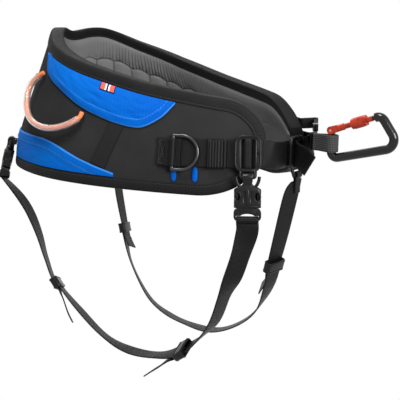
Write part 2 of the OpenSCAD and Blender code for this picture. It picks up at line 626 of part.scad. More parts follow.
// the thin end of the nose, which the lock sleeve slides over
module nose_stub() { color([0.03, 0.03, 0.035]) rod(stub_end - weld*gate_dir, nose_end, gate_d - 1, 0); }
tongue_t = 3.2;                        // the body's tongue between the gate's cheeks
cheek_r = 4.4;                         // radius of the rounded gate end
sleeve_at = gate_l - 7.5 - sleeve_l;
stop_at = sleeve_at - sleeve_travel - gap; // front of the shoulder that stops the sleeve
module carabiner_body() {
  color([0.03, 0.03, 0.035]) {
    rod(bend_in(neck, COR_A, COR_B, loop_r), neck, rod_d);
    bend(neck, COR_A, COR_B, loop_r, rod_d);
    rod(bend_in(COR_B, COR_A, neck, loop_r), bend_in(COR_A, COR_B, COR_C, corner_r), rod_d);
    bend(COR_A, COR_B, COR_C, corner_r, rod_d);
    rod(bend_in(COR_C, COR_B, COR_A, corner_r), bend_in(COR_B, COR_C, nose_end, nose_r), rod_d);
    bend(COR_B, COR_C, nose_end, nose_r, rod_d);
    rod(bend_in(nose_end, COR_C, COR_B, nose_r), stub_end, rod_d);
    difference() {
      union() {
        translate([pivot[0], 0, pivot[1]]) rotate([90, 0, 0])
          cylinder(h = tongue_t, r = cheek_r - 0.6, center = true, $fn = 48);
        translate([pivot[0] - cheek_r + 1, -tongue_t/2, neck[1] - 0.5])
          cube([2*cheek_r - 2, tongue_t, 6]);
      }
      translate([pivot[0], 0, pivot[1]]) rotate([90, 0, 0])
        cylinder(h = 20, r = pin_d/2 + run, center = true, $fn = 32);
    }
  }
}
module along_gate(d) {
  translate([pivot[0], 0, pivot[1]]) rotate([0, 90 - gate_a, 0]) translate([0, 0, d]) children();
}
module carabiner_gate() {
  color([0.85, 0.22, 0.07]) difference() {
    union() {
      along_gate(5.5) cylinder(h = gate_l - 5.5, d = gate_d, $fn = 48);
      along_gate(6) cylinder(h = stop_at - 6, d = gate_d + 1.6, $fn = 48);
      translate([pivot[0], 0, pivot[1]]) rotate([90, 0, 0])
        cylinder(h = rod_d - 1, r = cheek_r, center = true, $fn = 48);
      along_gate(0) translate([0, 0, 4.2]) cube([2*cheek_r - 1, rod_d - 1.4, 7.6], center = true);
    }
    translate([pivot[0], 0, pivot[1]]) rotate([90, 0, 0])
      cylinder(h = tongue_t + 0.6, r = cheek_r + 1.6, center = true, $fn = 48);
    translate([pivot[0], 0, pivot[1]]) rotate([90, 0, 0])
      cylinder(h = 20, r = pin_d/2 + run, center = true, $fn = 32);
  }
}
module gate_pin() {
  color([0.6, 0.6, 0.62]) translate([pivot[0], 0, pivot[1]]) rotate([90, 0, 0])
    cylinder(h = rod_d - 1, d = pin_d, center = true, $fn = 32);
}
knurls = 24;
module lock_sleeve() {
  color([0.85, 0.22, 0.07]) along_gate(sleeve_at) difference() {
    union() {
      cylinder(h = sleeve_l, d = sleeve_d - 0.8, $fn = 48);
      translate([0, 0, 2.5]) cylinder(h = sleeve_l - 5, d = sleeve_d, $fn = 48);
    }
    translate([0, 0, -1]) cylinder(h = sleeve_l + 2, r = gate_d/2 + 0.2, $fn = 48);
    for (k = [0:knurls - 1]) rotate([0, 0, 360*k/knurls]) translate([sleeve_d/2 + 0.35, 0, 4])
      cylinder(h = sleeve_l - 8, d = 1.2, $fn = 16);
  }
}
// webbing loop round the carabiner's rod
tie_in = rod_d/2 + 0.6;
tie_t = 2.1;
tie_out = tie_in + tie_t;
tie_tail = 16;
tie_mid = -19.6;
module tie_loop() {
  color([0.16, 0.16, 0.17]) translate([pivot[0], 0, tie_mid - tow_w/2]) linear_extrude(tow_w) {
    difference() {
      circle(tie_out, $fn = 64);
      circle(tie_in, $fn = 64);
      translate([-50, -25]) square([49.4, 50]);
    }
    difference() {
      polygon([[0.5, tie_out - 0.2], [0, tie_out - 0.1], [-tie_tail, tie_t + 0.1],
               [-tie_tail - 6, tie_t + 0.1], [-tie_tail - 6, -tie_t - 0.1],
               [-tie_tail, -tie_t - 0.1], [0, 0.1 - tie_out], [0.5, 0.2 - tie_out]]);
      polygon([[1, tie_in + 0.2], [0, tie_in + 0.1], [-tie_tail, 0],
               [0, -tie_in - 0.1], [1, -tie_in - 0.2]]);
    }
  }
}

// ---- side-release leg clips: x across, z along, the top hooks over a bar ----
plug_l = 15;
hook_h = 12;                           // the hook stands above the socket
prong_t = 3;
prong_l = socket_l - 6;
catch_out = prong_l*tan(prong_turn) - 0.1;  // the catch clears its window when squeezed
prong_x = clip_w/2 - clip_wall - prong_t/2 - 0.5;
base_z = -socket_l;                    // mouth of the socket, down from its top
// the origin is the bar's centre; the socket hangs below it
module clip_socket() {
  top_z = -hook_bore - 3.4;
  difference() {
    union() {
      rotate([0, 90, 0]) cylinder(h = 11, r = hook_r, center = true, $fn = 48);
      translate([-5.5, -hook_r, top_z - 2]) cube([11, 2*hook_r, -top_z + 2]);
      translate([0, 0, top_z - socket_l]) linear_extrude(socket_l) round_rect(clip_w, clip_t, 4);
    }
    rotate([0, 90, 0]) cylinder(h = 20, r = hook_bore, center = true, $fn = 48);
    // the cavity, open at the mouth, and a window at each side for the prongs
    translate([0, 0, top_z - socket_l - 1]) linear_extrude(socket_l - 3)
      square([clip_w - 2*clip_wall, clip_t - 2*clip_wall], center = true);
    for (k = [-1, 1]) translate([k*clip_w/2, 0, top_z - 12]) cube([11, clip_t + 2, 11], center = true);
  }
}
socket_top = -hook_bore - 3.4;
mouth_z = socket_top - socket_l;
module clip_plug() {
  slot_z = mouth_z - plug_l + 5.5;
  difference() {
    union() {
      translate([0, 0, mouth_z - plug_l]) linear_extrude(plug_l - 0.3) round_rect(clip_w, clip_t, 4);
      translate([0, 0, mouth_z - 1]) translate([-3, -2, 0]) cube([6, 4, socket_l - 8]);
    }
    translate([0, 0, slot_z]) cube([leg_w + 0.6, clip_t + 2, 4.6], center = true);
  }
}
module clip_prong(k) {
  z0 = mouth_z + 0.3;
  translate([k*prong_x, 0, 0]) {
    translate([-prong_t/2, -2.6, z0]) cube([prong_t, 5.2, prong_l]);
    // the shoulder shows in the window
    translate([k > 0 ? 0 : -prong_t/2 - catch_out, -3, z0 + prong_l - 11])
      cube([prong_t/2 + catch_out, 6, 8]);
  }
}
// where the clips hang: the bar's centre, its turn about Z and the lean of the clip
fr_bar = pt(buckle_s, web_h, buckle_w) + bar_y*upward(buckle_s, web_h) + bar_z*outward(buckle_s, web_h);
fr_turn = -plan(buckle_s)[2];
fr_lean = 8;
module at_front_right() { translate(fr_bar) rotate([0, 0, fr_turn]) rotate([-fr_lean, 0, 0]) children(); }
function fr_end(d) =
  fr_bar + d*[sin(fr_lean)*sin(fr_turn), -sin(fr_lean)*cos(fr_turn), -cos(fr_lean)];
rear_s = 100;
rear_h = -40;
module at_rear() {
  a = plan(rear_s)[2];
  translate(pt(rear_s, rear_h, 9)) rotate([0, 0, -a]) rotate([-atan(flare)*0.75, 0, 0]) children();
}
module front_socket_right() { color([0.1, 0.1, 0.11]) at_front_right() clip_socket(); }
module front_plug_right() { color([0.1, 0.1, 0.11]) at_front_right() clip_plug(); }
module front_prong_a_right() { color([0.12, 0.12, 0.13]) at_front_right() clip_prong(-1); }
module front_prong_b_right() { color([0.12, 0.12, 0.13]) at_front_right() clip_prong(1); }
module rear_socket_right() { color([0.1, 0.1, 0.11]) at_rear() clip_socket(); }
module rear_plug_right() { color([0.1, 0.1, 0.11]) at_rear() clip_plug(); }
module rear_prong_a_right() { color([0.12, 0.12, 0.13]) at_rear() clip_prong(-1); }
module rear_prong_b_right() { color([0.12, 0.12, 0.13]) at_rear() clip_prong(1); }
module rear_socket_left() { color([0.1, 0.1, 0.11]) left() at_rear() clip_socket(); }
module rear_plug_left() { color([0.1, 0.1, 0.11]) left() at_rear() clip_plug(); }
module rear_prong_a_left() { color([0.12, 0.12, 0.13]) left() at_rear() clip_prong(-1); }
module rear_prong_b_left() { color([0.12, 0.12, 0.13]) left() at_rear() clip_prong(1); }

// webbing tab on the belt with a moulded bar that the rear clip hooks over
module rear_tab() {
  at_rear() {
    rotate([0, 90, 0]) cylinder(h = 19, d = bar_d, center = true, $fn = 32);
    for (k = [-1, 1]) translate([k*8, 0, 0]) {
      rotate([0, 90, 0]) cylinder(h = 3, r = 3.2, center = true, $fn = 32);
      translate([-1.5, 0, -3.2]) cube([3, 7.2, 6.4]);
    }
  }
}
module rear_tab_right() { color([0.12, 0.12, 0.13]) right() rear_tab(); }
module rear_tab_left() { color([0.12, 0.12, 0.13]) left() rear_tab(); }

// ---- leg loops ----
hang = -mouth_z + plug_l + gap + leg_t; // from a clip's bar down to its strap's fold
lower_bar = 3.2;
// the strap's fold round the plug's lower bar
module plug_fold() {
  translate([0, 0, mouth_z - plug_l - gap]) rotate([90, 0, 90])
    linear_extrude(leg_w, center = true) difference() {
      translate([-clip_t/2 - gap - leg_t, -leg_t])
        square([clip_t + 2*gap + 2*leg_t, lower_bar + 2*gap + 2*leg_t]);
      translate([-clip_t/2 - gap, 0]) square([clip_t + 2*gap, lower_bar + 2*gap]);
    }
}
function rear_end(d) =
  let (a = plan(rear_s)[2], b = atan(flare)*0.75)
  pt(rear_s, rear_h, 9) + [-sin(a)*d*sin(b), -cos(a)*d*sin(b), -d*cos(b)];
ACROSS = [0, 1, 0];
EDGE = [-0.6, 0.8, 0];
eye_d = 34;                            // from the left buckle's middle to the strap's top
FRONT_WAY = ahead(buckle_s);
REAR_WAY = [-0.45, 0.9, 0.05];
RIGHT = [[fr_end(hang - 0.5), FRONT_WAY], [fr_end(hang + 10), FRONT_WAY],
  [[143, -78, -140], [0.6, 0.8, 0]], [[133, -80, -170], [0.3, 1, 0]],
  [[121, -80, -196], [-0.2, 1, 0.1]], [[104, -81, -236], [0, 1, 0.3]],
  [[65, -84, -275], [0, 0.9, 0.45]], [[28, -87, -292], [0, 0.85, 0.5]],
  [[-15, -90, -296], [0, 0.85, 0.5]], [[-57, -92, -286], [0.1, 0.85, 0.5]],
  [[-98, -95, -259], [-0.2, 0.9, 0.2]], [[-135, -98, -227], REAR_WAY],
  [[-152, -98, -196], REAR_WAY], [[-162, -99, -165], EDGE], [[-175, -101, -136], EDGE],
  [[-192, -105, -112], EDGE], [rear_end(hang - 0.5), [-0.745, 0.667, 0]]];
R_FRONT = 6;
R_REAR = 11;
LEFT = [[lb_pos + [bar_z, 0, -eye_d], ACROSS], [[151, 21, -90], ACROSS], [[138, 23, -143], ACROSS],
  [[126, 26, -185], ACROSS], [[117, 28, -215], ACROSS], [[100, 32, -248], ACROSS],
  [[68, 39, -279], [0, 0.9, 0.4]], [[20, 50, -305], [0, 0.85, 0.5]],
  [[-33, 62, -313], [0, 0.9, 0.4]], [[-84, 73, -311], [0, 0.9, 0.3]],
  [[-130, 84, -296], [0.2, 0.9, 0.2]], [[-171, 94, -253], ACROSS], [[-188, 98, -201], ACROSS],
  [[-204, 103, -150], ACROSS], [[-213, 109, -112], [0.3, 0.9, 0]],
  [flip(rear_end(hang - 0.5)), [0.745, 0.667, 0]]];
L_FRONT = 3;
L_REAR = 12;
half_gap = leg_t/2 + gap + 0.15;
T_R1 = [[[123, -83, -232], [0, 1, 0.3]], [[65, -84, -275], [0, 0.9, 0.45]],
        [[47, -86, -288], [-0.1, 0.9, 0.4]], [[30, -87, -304], EDGE], [[14, -88, -317], EDGE]];
T_R2 = [[[-180, -100, -180], REAR_WAY], [[-135, -98, -227], REAR_WAY],
        [[-126, -97, -243], REAR_WAY], [[-119, -96, -262], EDGE], [[-109, -96, -277], EDGE]];
T_L1 = [[[138, 23, -133], ACROSS], [[126, 26, -185], ACROSS], [[117, 28, -205], ACROSS],
        [[106, 30, -221], ACROSS]];
T_L2 = [[[-213, 104, -114], ACROSS], [[-188, 98, -201], ACROSS], [[-180, 95, -217], ACROSS],
        [[-170, 92, -229], ACROSS]];
module leg(route, shift, first, last) { ribbon(route, leg_w, leg_t, 3, shift, first, last); }
module leg_front_right() {
  color([0.12, 0.12, 0.13]) {
    leg(RIGHT, half_gap, 0, R_FRONT);
    leg(T_R1, half_gap, 1, 4);
    at_front_right() plug_fold();
  }
}
module leg_middle_right() { color([0.12, 0.12, 0.13]) leg(RIGHT, -half_gap, R_FRONT, R_REAR); }
module leg_rear_right() {
  color([0.12, 0.12, 0.13]) {
    leg(RIGHT, half_gap, R_REAR, 16);
    leg(T_R2, -half_gap, 1, 4);
    at_rear() plug_fold();
  }
}
// the left front strap ends in a narrow sewn eye round the left buckle's lower bar
module eye() {
  at_left_buckle() translate([0, bar_y, bar_z]) {
    rotate([0, 90, 0]) difference() {
      cylinder(h = 10.8, r = bar_d/2 + 0.5 + leg_t, center = true, $fn = 48);
      cylinder(h = 12, r = bar_d/2 + 0.5, center = true, $fn = 48);
    }
    translate([-5.4, -eye_d - bar_y - 1, -leg_t]) cube([10.8, eye_d + bar_y - bar_d/2, 2*leg_t]);
  }
}
module leg_front_left() {
  color([0.12, 0.12, 0.13]) {
    leg(LEFT, -half_gap, 0, L_FRONT);
    leg(T_L1, -half_gap, 1, 3);
    eye();
  }
}
module leg_middle_left() { color([0.12, 0.12, 0.13]) leg(LEFT, half_gap, L_FRONT, L_REAR); }
module leg_rear_left() {
  color([0.12, 0.12, 0.13]) {
    leg(LEFT, -half_gap, L_REAR, 15);
    leg(T_L2, half_gap, 1, 3);
    left() at_rear() plug_fold();
  }
}
slider_l = 15;
slider_in = 6.4;                       // clear height inside the slider
module slider(route, k) {
  p = sampled([for (q = route) q[0]], 3);
  t = tangent(p, 3*k);
  v = route[k][1];
  a = unit(v - (v*t)*t);
  b = cross(t, a);
  c = route[k][0];
  color([0.1, 0.1, 0.11])
    multmatrix([[t[0], a[0], b[0], c[0]], [t[1], a[1], b[1], c[1]],
                [t[2], a[2], b[2], c[2]], [0, 0, 0, 1]])
    rotate([90, 0, 90]) translate([0, 0, -slider_l/2]) linear_extrude(slider_l) difference() {
      round_rect(leg_w + 5, slider_in + 4, 3);
      square([leg_w + 0.8, slider_in], center = true);
    }
}
module slider_front_right() { slider(RIGHT, R_FRONT); }
module slider_rear_right() { slider(RIGHT, R_REAR); }
module slider_front_left() { slider(LEFT, L_FRONT); }
module slider_rear_left() { slider(LEFT, L_REAR); }

outer_shell();
foam_core();
inner_lining();
edge_binding();
pocket_right();
pocket_left();
rear_panel_right();
rear_panel_left();
band_right();
band_left();
tabs_right();
tabs_left();
woven_tag();
gear_cord_right();
gear_cord_left();
gear_sheath_right();
gear_sheath_left();
side_strap_right();
side_strap_left();
ring_loop_right();
ring_loop_left();
ring_right();
ring_left();
keeper_right();
keeper_left();
plate_buckle_right();
plate_buckle_left();
bridge_strap();
tow_strap();
tow_slider();
tie_loop();
carabiner_body();
nose_stub();
carabiner_gate();
gate_pin();
lock_sleeve();
front_socket_right();
front_plug_right();
front_prong_a_right();
front_prong_b_right();
rear_socket_right();
rear_plug_right();
rear_prong_a_right();
rear_prong_b_right();
rear_socket_left();
rear_plug_left();
rear_prong_a_left();
rear_prong_b_left();
rear_tab_right();
rear_tab_left();
leg_front_right();
leg_middle_right();
leg_rear_right();
leg_front_left();
leg_middle_left();
leg_rear_left();
slider_front_right();
slider_rear_right();
slider_front_left();
slider_rear_left();
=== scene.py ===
# %% [markdown]
# # A padded trekking belt with two leg loops
# The belt is one developed sheet: `s` runs along it from the back centre (right side
# positive), `h` is the height and `w` the distance outward from the outer shell, all in
# millimetres. The frame's own axes are X forward, Y to the wearer's left and Z up.
# %% Load the frame
from math import atan, ceil, cos, pi, radians, sin, sqrt
import bmesh
import bpy
from mathutils import Matrix, Vector, noise


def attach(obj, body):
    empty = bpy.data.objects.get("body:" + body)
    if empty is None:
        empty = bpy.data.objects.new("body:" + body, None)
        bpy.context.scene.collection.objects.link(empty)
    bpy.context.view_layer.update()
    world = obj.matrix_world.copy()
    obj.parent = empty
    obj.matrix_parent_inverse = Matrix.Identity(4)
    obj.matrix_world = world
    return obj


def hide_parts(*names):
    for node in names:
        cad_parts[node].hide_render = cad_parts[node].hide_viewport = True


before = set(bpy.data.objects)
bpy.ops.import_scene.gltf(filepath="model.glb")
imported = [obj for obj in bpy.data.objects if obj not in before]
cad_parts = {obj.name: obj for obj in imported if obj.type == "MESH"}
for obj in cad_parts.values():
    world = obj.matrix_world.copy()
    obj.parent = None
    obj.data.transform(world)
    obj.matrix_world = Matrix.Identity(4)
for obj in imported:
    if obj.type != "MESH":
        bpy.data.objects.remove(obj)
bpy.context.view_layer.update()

MM = 0.001
scene = bpy.context.scene

# %% [markdown]
# ## Camera
# The belt is seen from the wearer's right front, a little above it.
# %% Camera
CAMERA_TARGET = Vector((0.030, 0, -0.109))
CAMERA_AZIMUTH = radians(36)
CAMERA_RISE = radians(13)
CAMERA_DISTANCE = 0.950
CAMERA_LENS = 66.8
out_way = Vector((sin(CAMERA_AZIMUTH)*cos(CAMERA_RISE), -cos(CAMERA_AZIMUTH)*cos(CAMERA_RISE),
                  sin(CAMERA_RISE)))
bpy.ops.object.camera_add(location=CAMERA_TARGET + CAMERA_DISTANCE*out_way,
                          rotation=(-out_way).to_track_quat("-Z", "Y").to_euler())
camera = bpy.context.object
camera.name = "Camera"
camera.data.lens = CAMERA_LENS
camera.data.sensor_width = 36
camera.data.clip_start = 0.01
scene.camera = camera
scene.view_settings.view_transform = "Standard"
print("camera at", [round(x, 3) for x in camera.location])

# %% [markdown]
# ## Light
# A dimmed white surrounding lights the cloth evenly, and three soft panels give the curved
# parts their highlights. The camera and reflections see plain white.
# %% Light
AROUND = 0.4         # share of the white that lights the cloth


def add_node(tree, kind, settings=(), sockets=()):
    """A node of a tree with its settings, and its inputs linked or set."""
    made = tree.nodes.new(kind)
    for key, value in dict(settings).items():
        setattr(made, key, value)
    for key, value in dict(sockets).items():
        value = getattr(value, "socket", value)
        if hasattr(value, "links"):
            tree.links.new(value, made.inputs[key])
        else:
            made.inputs[key].default_value = value
    return made


world = bpy.data.worlds.new("White")
scene.world = world
world.use_nodes = True
tree = world.node_tree
tree.nodes.clear()
seen, around = [add_node(tree, "ShaderNodeBackground", (), {"Color": (1, 1, 1, 1), "Strength": strength})
                for strength in (1, AROUND)]
rays = add_node(tree, "ShaderNodeLightPath").outputs
direct = add_node(tree, "ShaderNodeMath", {"operation": "MAXIMUM"},
                  {0: rays["Is Camera Ray"], 1: rays["Is Transmission Ray"]})
glossy = add_node(tree, "ShaderNodeMath", {"operation": "MAXIMUM"},
                  {0: direct.outputs[0], 1: rays["Is Glossy Ray"]})
both = add_node(tree, "ShaderNodeMixShader", (),
                {0: glossy.outputs[0], 1: around.outputs[0], 2: seen.outputs[0]})
add_node(tree, "ShaderNodeOutputWorld", (), {0: both.outputs[0]})

for name, place, size, power in (("Key_light", (0.1, -0.6, 1.4), 0.5, 22),
                                 ("Side_light", (1.2, -0.4, 0.4), 0.6, 20),
                                 ("Back_light", (-0.9, 0.5, 0.9), 0.6, 4)):
    way = CAMERA_TARGET - Vector(place)
    bpy.ops.object.light_add(type="AREA", location=place, rotation=way.to_track_quat("-Z", "Y").to_euler())
    light = bpy.context.object
    light.name = name
    light.data.size = size
    light.data.energy = power

# %% [markdown]
# ## Writing materials
# `Value` wraps a socket so that shader maths reads as ordinary sums, and `Look` starts a
# material and adds any other node to it.
# %% Material tools
class Value:
    """A number socket of a node tree, for sums."""
    def __init__(self, tree, socket):
        self.tree = tree
        self.socket = socket

    def math(self, kind, *others):
        """The result of one kind of sum; also a method under each name below."""
        made = add_node(self.tree, "ShaderNodeMath", {"operation": kind}, dict(enumerate((self,) + others)))
        return Value(self.tree, made.outputs[0])

    def __rsub__(self, other):
        return (self*-1) + other


for name, kind in {"__add__": "ADD", "__radd__": "ADD", "__sub__": "SUBTRACT", "__mul__": "MULTIPLY",
                   "__rmul__": "MULTIPLY", "__truediv__": "DIVIDE", "sine": "SINE", "size": "ABSOLUTE",
                   "above": "GREATER_THAN", "below": "LESS_THAN", "least": "MINIMUM",
                   "most": "MAXIMUM", "fraction": "FRACT", "power": "POWER"}.items():
    setattr(Value, name, lambda self, *others, kind=kind: self.math(kind, *others))


def tone(red, green=None, blue=None):
    """A screen colour, 0 to 255, as the renderer's linear colour."""
    shades = (red, red if green is None else green, red if blue is None else blue)
    line = [c/255/12.92 if c/255 <= 0.04045 else ((c/255 + 0.055)/1.055)**2.4 for c in shades]
    return (*line, 1)


class Look:
    """A material under construction."""
    def __init__(self, name, rough=0.6, metal=0.0, gloss=0.06):
        self.material = bpy.data.materials.new(name)
        self.material.use_nodes = True
        self.tree = self.material.node_tree
        self.shader = self.tree.nodes["Principled BSDF"]
        self.shader.inputs["Roughness"].default_value = rough
        self.shader.inputs["Metallic"].default_value = metal
        self.shader.inputs["Specular IOR Level"].default_value = gloss
        self.places = {}

    def node(self, kind, settings=(), sockets=()):
        return add_node(self.tree, kind, settings, sockets)

    def spot(self, kind):
        """The place on the piece, in metres: kind "Object" in space, "UV" along the cloth."""
        if kind not in self.places:
            self.places[kind] = self.node("ShaderNodeTexCoord").outputs[kind]
        return self.places[kind]

    def axes(self, kind):
        parts = self.node("ShaderNodeSeparateXYZ", (), {0: self.spot(kind)})
        return [Value(self.tree, parts.outputs[k]) for k in range(3)]

    def cloud(self, per_metre, detail, kind="Object", stretch=None):
        """Soft noise from 0 to 1."""
        place = self.spot(kind)
        if stretch:
            place = self.node("ShaderNodeVectorMath", {"operation": "MULTIPLY"},
                              {0: place, 1: stretch}).outputs[0]
        made = self.node("ShaderNodeTexNoise", (), {"Vector": place, "Scale": per_metre, "Detail": detail})
        return Value(self.tree, made.outputs[0])

    def blend(self, share, first, second):
        """A colour between two others; each is a colour or another blend's result."""
        made = self.node("ShaderNodeMix", {"data_type": "RGBA"}, {0: share, 6: first, 7: second})
        return made.outputs[2]

    def colour(self, value):
        if hasattr(value, "links"):
            self.tree.links.new(value, self.shader.inputs["Base Color"])
        else:
            self.shader.inputs["Base Color"].default_value = value
        return self

    def mix(self, share, first, second):
        return self.colour(self.blend(share, first, second))

    def rough(self, value):
        self.tree.links.new(value.socket, self.shader.inputs["Roughness"])
        return self

    def bump(self, height, depth_mm, strength=1.0):
        """Raises the surface by the height value, 0 to 1, times a depth in millimetres."""
        made = self.node("ShaderNodeBump", (),
                         {"Height": height, "Distance": depth_mm*MM, "Strength": strength})
        self.tree.links.new(made.outputs[0], self.shader.inputs["Normal"])
        return self

    def fix(self, **sockets):
        for key, value in sockets.items():
            self.shader.inputs[key.replace("_", " ")].default_value = value
        return self


def per(pitch_mm):
    """Radians per metre of a wave with that pitch."""
    return 2*pi/(pitch_mm*MM)


def wave(turns):
    """A sine from 0 to 1."""
    return turns.sine()*0.5 + 0.5


def weave(look, pitch_mm):
    """A plain weave: over and under threads in both directions."""
    u, v = look.axes("UV")[:2]
    turn = per(pitch_mm)
    return ((u*turn).sine()*(v*turn).sine())*0.5 + 0.5


print("material tools ready")

# %% [markdown]
# ## Materials
# Each is a short function: colour, roughness and relief at the cloth's real scale.
# %% Cloth materials
def make_shell():
    look = Look("shell_cloth_look", 0.85)
    cloth = weave(look, 0.9)
    folds = look.cloud(22, 3)
    look.mix(folds, tone(30), tone(46))
    return look.bump(cloth*0.35 + folds*2.2, 0.35).material


def make_foam():
    look = Look("foam_look", 0.9)
    pores = look.cloud(900, 2)
    look.mix(pores, tone(60), tone(92))
    return look.bump(pores, 0.2).material


def make_lining():
    """v is the height over the long seam; the seams and gathers are painted darker, as painted shade in the
    creases where thread pulls them in.
    """
    look = Look("lining_look", 0.85)
    along, up = look.axes("UV")[:2]
    knit = weave(look, 1.4)
    soft = look.cloud(14, 3)
    seam = ((up.size()*-1) + 1.6*MM).most(0.0)*(1/(1.6*MM))
    quilted = ((along.size() - 175*MM).size()*(-1/(60*MM)) + 2.8).most(0.0).least(1.0)
    pads = (along*(pi/(PAD_PITCH*MM))).sine().size()
    upright = pads.below(0.13)*up.below(0)*up.above(-34*MM)
    wander = look.cloud(45, 2, "UV", (1.0, 0.4, 1.0))
    hip = ((along.size() - 190*MM).size()*(-1/(150*MM)) + 1.0).most(0.0)
    fade = (up*(-1/(36*MM)) + 1.0).most(0.0)*up.above(0)
    gather = wave(along*per(6.3) + wander*9.0).power(5.0)*hip*fade
    shade = look.blend(soft, tone(100), tone(134))
    shade = look.blend(knit*0.25, shade, tone(88))
    # painted shade: the long seam, the upright seams and the gathers are darkened towards tone 30
    look.mix(((seam*0.75).most(upright*0.5)*quilted).most(gather*0.9), shade, tone(30))
    return look.bump(knit*0.6 + soft - seam*1.5 - gather*2.5, 0.5).material


def make_binding():
    look = Look("binding_look", 0.6, gloss=0.08)
    along, across = look.axes("UV")[:2]
    ribs = wave(along*per(1.6))
    seam = (across - 9.2*MM).size().below(0.5*MM)
    dash = (along/(3.2*MM)).fraction().below(0.62)
    look.mix(seam*dash, look.blend(look.cloud(30, 4), tone(14), tone(30)), tone(46))
    return look.bump(ribs*0.5 - seam*1.2, 0.45).material


def make_blue():
    """Ripstop: a fine grid, lighter thread on the stitch lines, v measured from the hem; a painted
    highlight along the hem's edge and painted shade towards the front.
    """
    look = Look("blue_cloth_look", 0.6, gloss=0.05)
    along, up = look.axes("UV")[:2]
    x = look.axes("Object")[0]
    cell = 4.6*MM
    grid = ((along/cell).fraction().below(0.1)).most((up/cell).fraction().below(0.1))
    # painted shade: the blue darkens towards the front, along X
    shift = (x*6.0 + 0.62).least(1.0).most(0.0)
    base = look.blend(shift, tone(0, 100, 188), tone(0, 84, 178))
    base = look.blend(look.cloud(26, 4, "Object")*0.5, base, tone(0, 66, 160))
    base = look.blend(grid*0.18, base, tone(24, 126, 216))
    hem = (up - 9.5*MM).size().below(0.55*MM)
    dash = (along/(3.0*MM)).fraction().below(0.66)
    # painted highlight: edge lightens the first 1.6 mm from the hem's edge; the dashes on the hem line are
    # lighter thread
    edge = up.below(1.6*MM)*up.above(-1*MM)
    base = look.blend((hem*dash*0.35).most(edge*0.4), base, tone(84, 160, 236))
    look.colour(base)
    wrinkle = look.cloud(60, 3, "UV", (1.0, 2.2, 1.0))
    return look.bump(wrinkle*1.2 + grid*0.15 - hem*0.7, 0.8).material


def make_band():
    look = Look("band_look", 0.7)
    along, across = look.axes("UV")[:2]
    rows = wave(across*per(1.5))
    knots = weave(look, 1.5)
    look.mix(rows*knots, tone(26), tone(48))
    return look.bump(rows*0.5 + knots, 0.4).material


def make_tag():
    """Two orange squares with a white, navy, white stripe between them, and a navy rim."""
    look = Look("tag_look", 0.65)
    along, up = look.axes("UV")[:2]
    aside = along.size()
    base = look.blend(aside.below(3.2*MM), tone(232, 96, 74), tone(244, 240, 246))
    base = look.blend(aside.below(1.2*MM), base, tone(24, 28, 70))
    base = look.blend(aside.above(9.2*MM).most(up.below(0.9*MM)), base, tone(22, 26, 74))
    look.colour(base)
    return look.bump(weave(look, 0.7), 0.12).material


def make_webbing():
    """Woven strap: fine ribs across it and slanting yarn, u along it."""
    look = Look("webbing_look", 0.38, gloss=0.1)
    along, across = look.axes("UV")[:2]
    ribs = wave(along*per(1.5))
    yarn = wave(across*per(1.9) + along*per(3.0))
    worn = look.cloud(120, 4)
    base = look.blend(ribs*yarn, tone(6), tone(22))
    look.mix(worn*0.2, base, tone(34))
    return look.bump(ribs*0.5 + yarn*0.5, 0.3).material


def make_tie_look():
    look = Look("tie_webbing_look", 0.6)
    along, across = look.axes("UV")[:2]
    ribs = wave(along*per(1.6))
    yarn = wave(across*per(2.0))
    look.mix(ribs*yarn, tone(48), tone(84))
    return look.bump(ribs*0.5 + yarn*0.5, 0.35).material


def make_thread(name, shade):
    look = Look(name, 0.55)
    twist = wave(look.axes("UV")[0]*per(0.5))
    look.mix(twist*0.4, shade, tone(20))
    return look.bump(twist, 0.05).material


def make_cord():
    """Braided cord: two crossing sets of yarn."""
    look = Look("cord_look", 0.7)
    along, around = look.axes("UV")[:2]
    lay = per(2.6)
    one, two = wave(along*lay + around*lay), wave(along*lay - around*lay)
    look.mix(one*two, tone(222, 120, 72), tone(238, 158, 112))
    return look.bump(one*two, 0.3).material


def make_sheath():
    look = Look("sheath_look", 0.08)
    cloudy = look.cloud(70, 2)
    look.mix(cloudy, tone(240, 236, 232), tone(252))
    look.fix(Transmission_Weight=0.92, IOR=1.35, Coat_Weight=0.3, Coat_Roughness=0.05)
    return look.bump(cloudy, 0.1, 0.3).material


print("cloth materials ready")

# %% Hard materials
def make_plastic(name, low, high, rough, relief):
    look = Look(name, rough, gloss=0.15)
    mottle = look.cloud(700, 3)
    worn = look.cloud(45, 4)
    look.mix(worn, tone(low), tone(high))
    return look.bump(mottle, relief).fix(Coat_Weight=0.12, Coat_Roughness=0.25).material


def make_metal(name, shade, low, high, metal=1.0, coat=0.2, low_shade=(12,), worn=0.5):
    look = Look(name, low, metal, 0.15)
    brushed = look.cloud(260, 4)
    look.mix(brushed*worn, shade, tone(*low_shade))
    look.rough(brushed*(high - low) + low)
    return look.bump(brushed, 0.02).fix(Coat_Weight=coat, Coat_Roughness=0.08).material


PAD_PITCH = 33       # between the lining's upright seams, mm
LOOKS = {
    "shell_cloth": make_shell(), "foam": make_foam(), "lining_cloth": make_lining(),
    "binding_tape": make_binding(), "blue_cloth": make_blue(), "band_tape": make_band(),
    "tag_cloth": make_tag(), "cord": make_cord(), "clear_sheath": make_sheath(),
    "webbing": make_webbing(),
    "dark_metal": make_metal("dark_metal_look", tone(70), 0.22, 0.4),
    "black_plastic": make_plastic("black_plastic_look", 8, 18, 0.28, 0.03),
    "gloss_black": make_metal("gloss_black_look", tone(8), 0.12, 0.2, 0.0, 0.4),
    "orange_anodised": make_metal("orange_anodised_look", tone(206, 62, 30), 0.2, 0.36, 0.3, 0.25,
                                  (70, 8, 4), 0.95),
    "pin_steel": make_metal("pin_steel_look", tone(190), 0.18, 0.3),
}
THREAD_DARK = make_thread("thread_dark_look", tone(58))
THREAD_BLUE = make_thread("thread_blue_look", tone(52, 140, 226))
print("materials:", len(LOOKS) + 2)

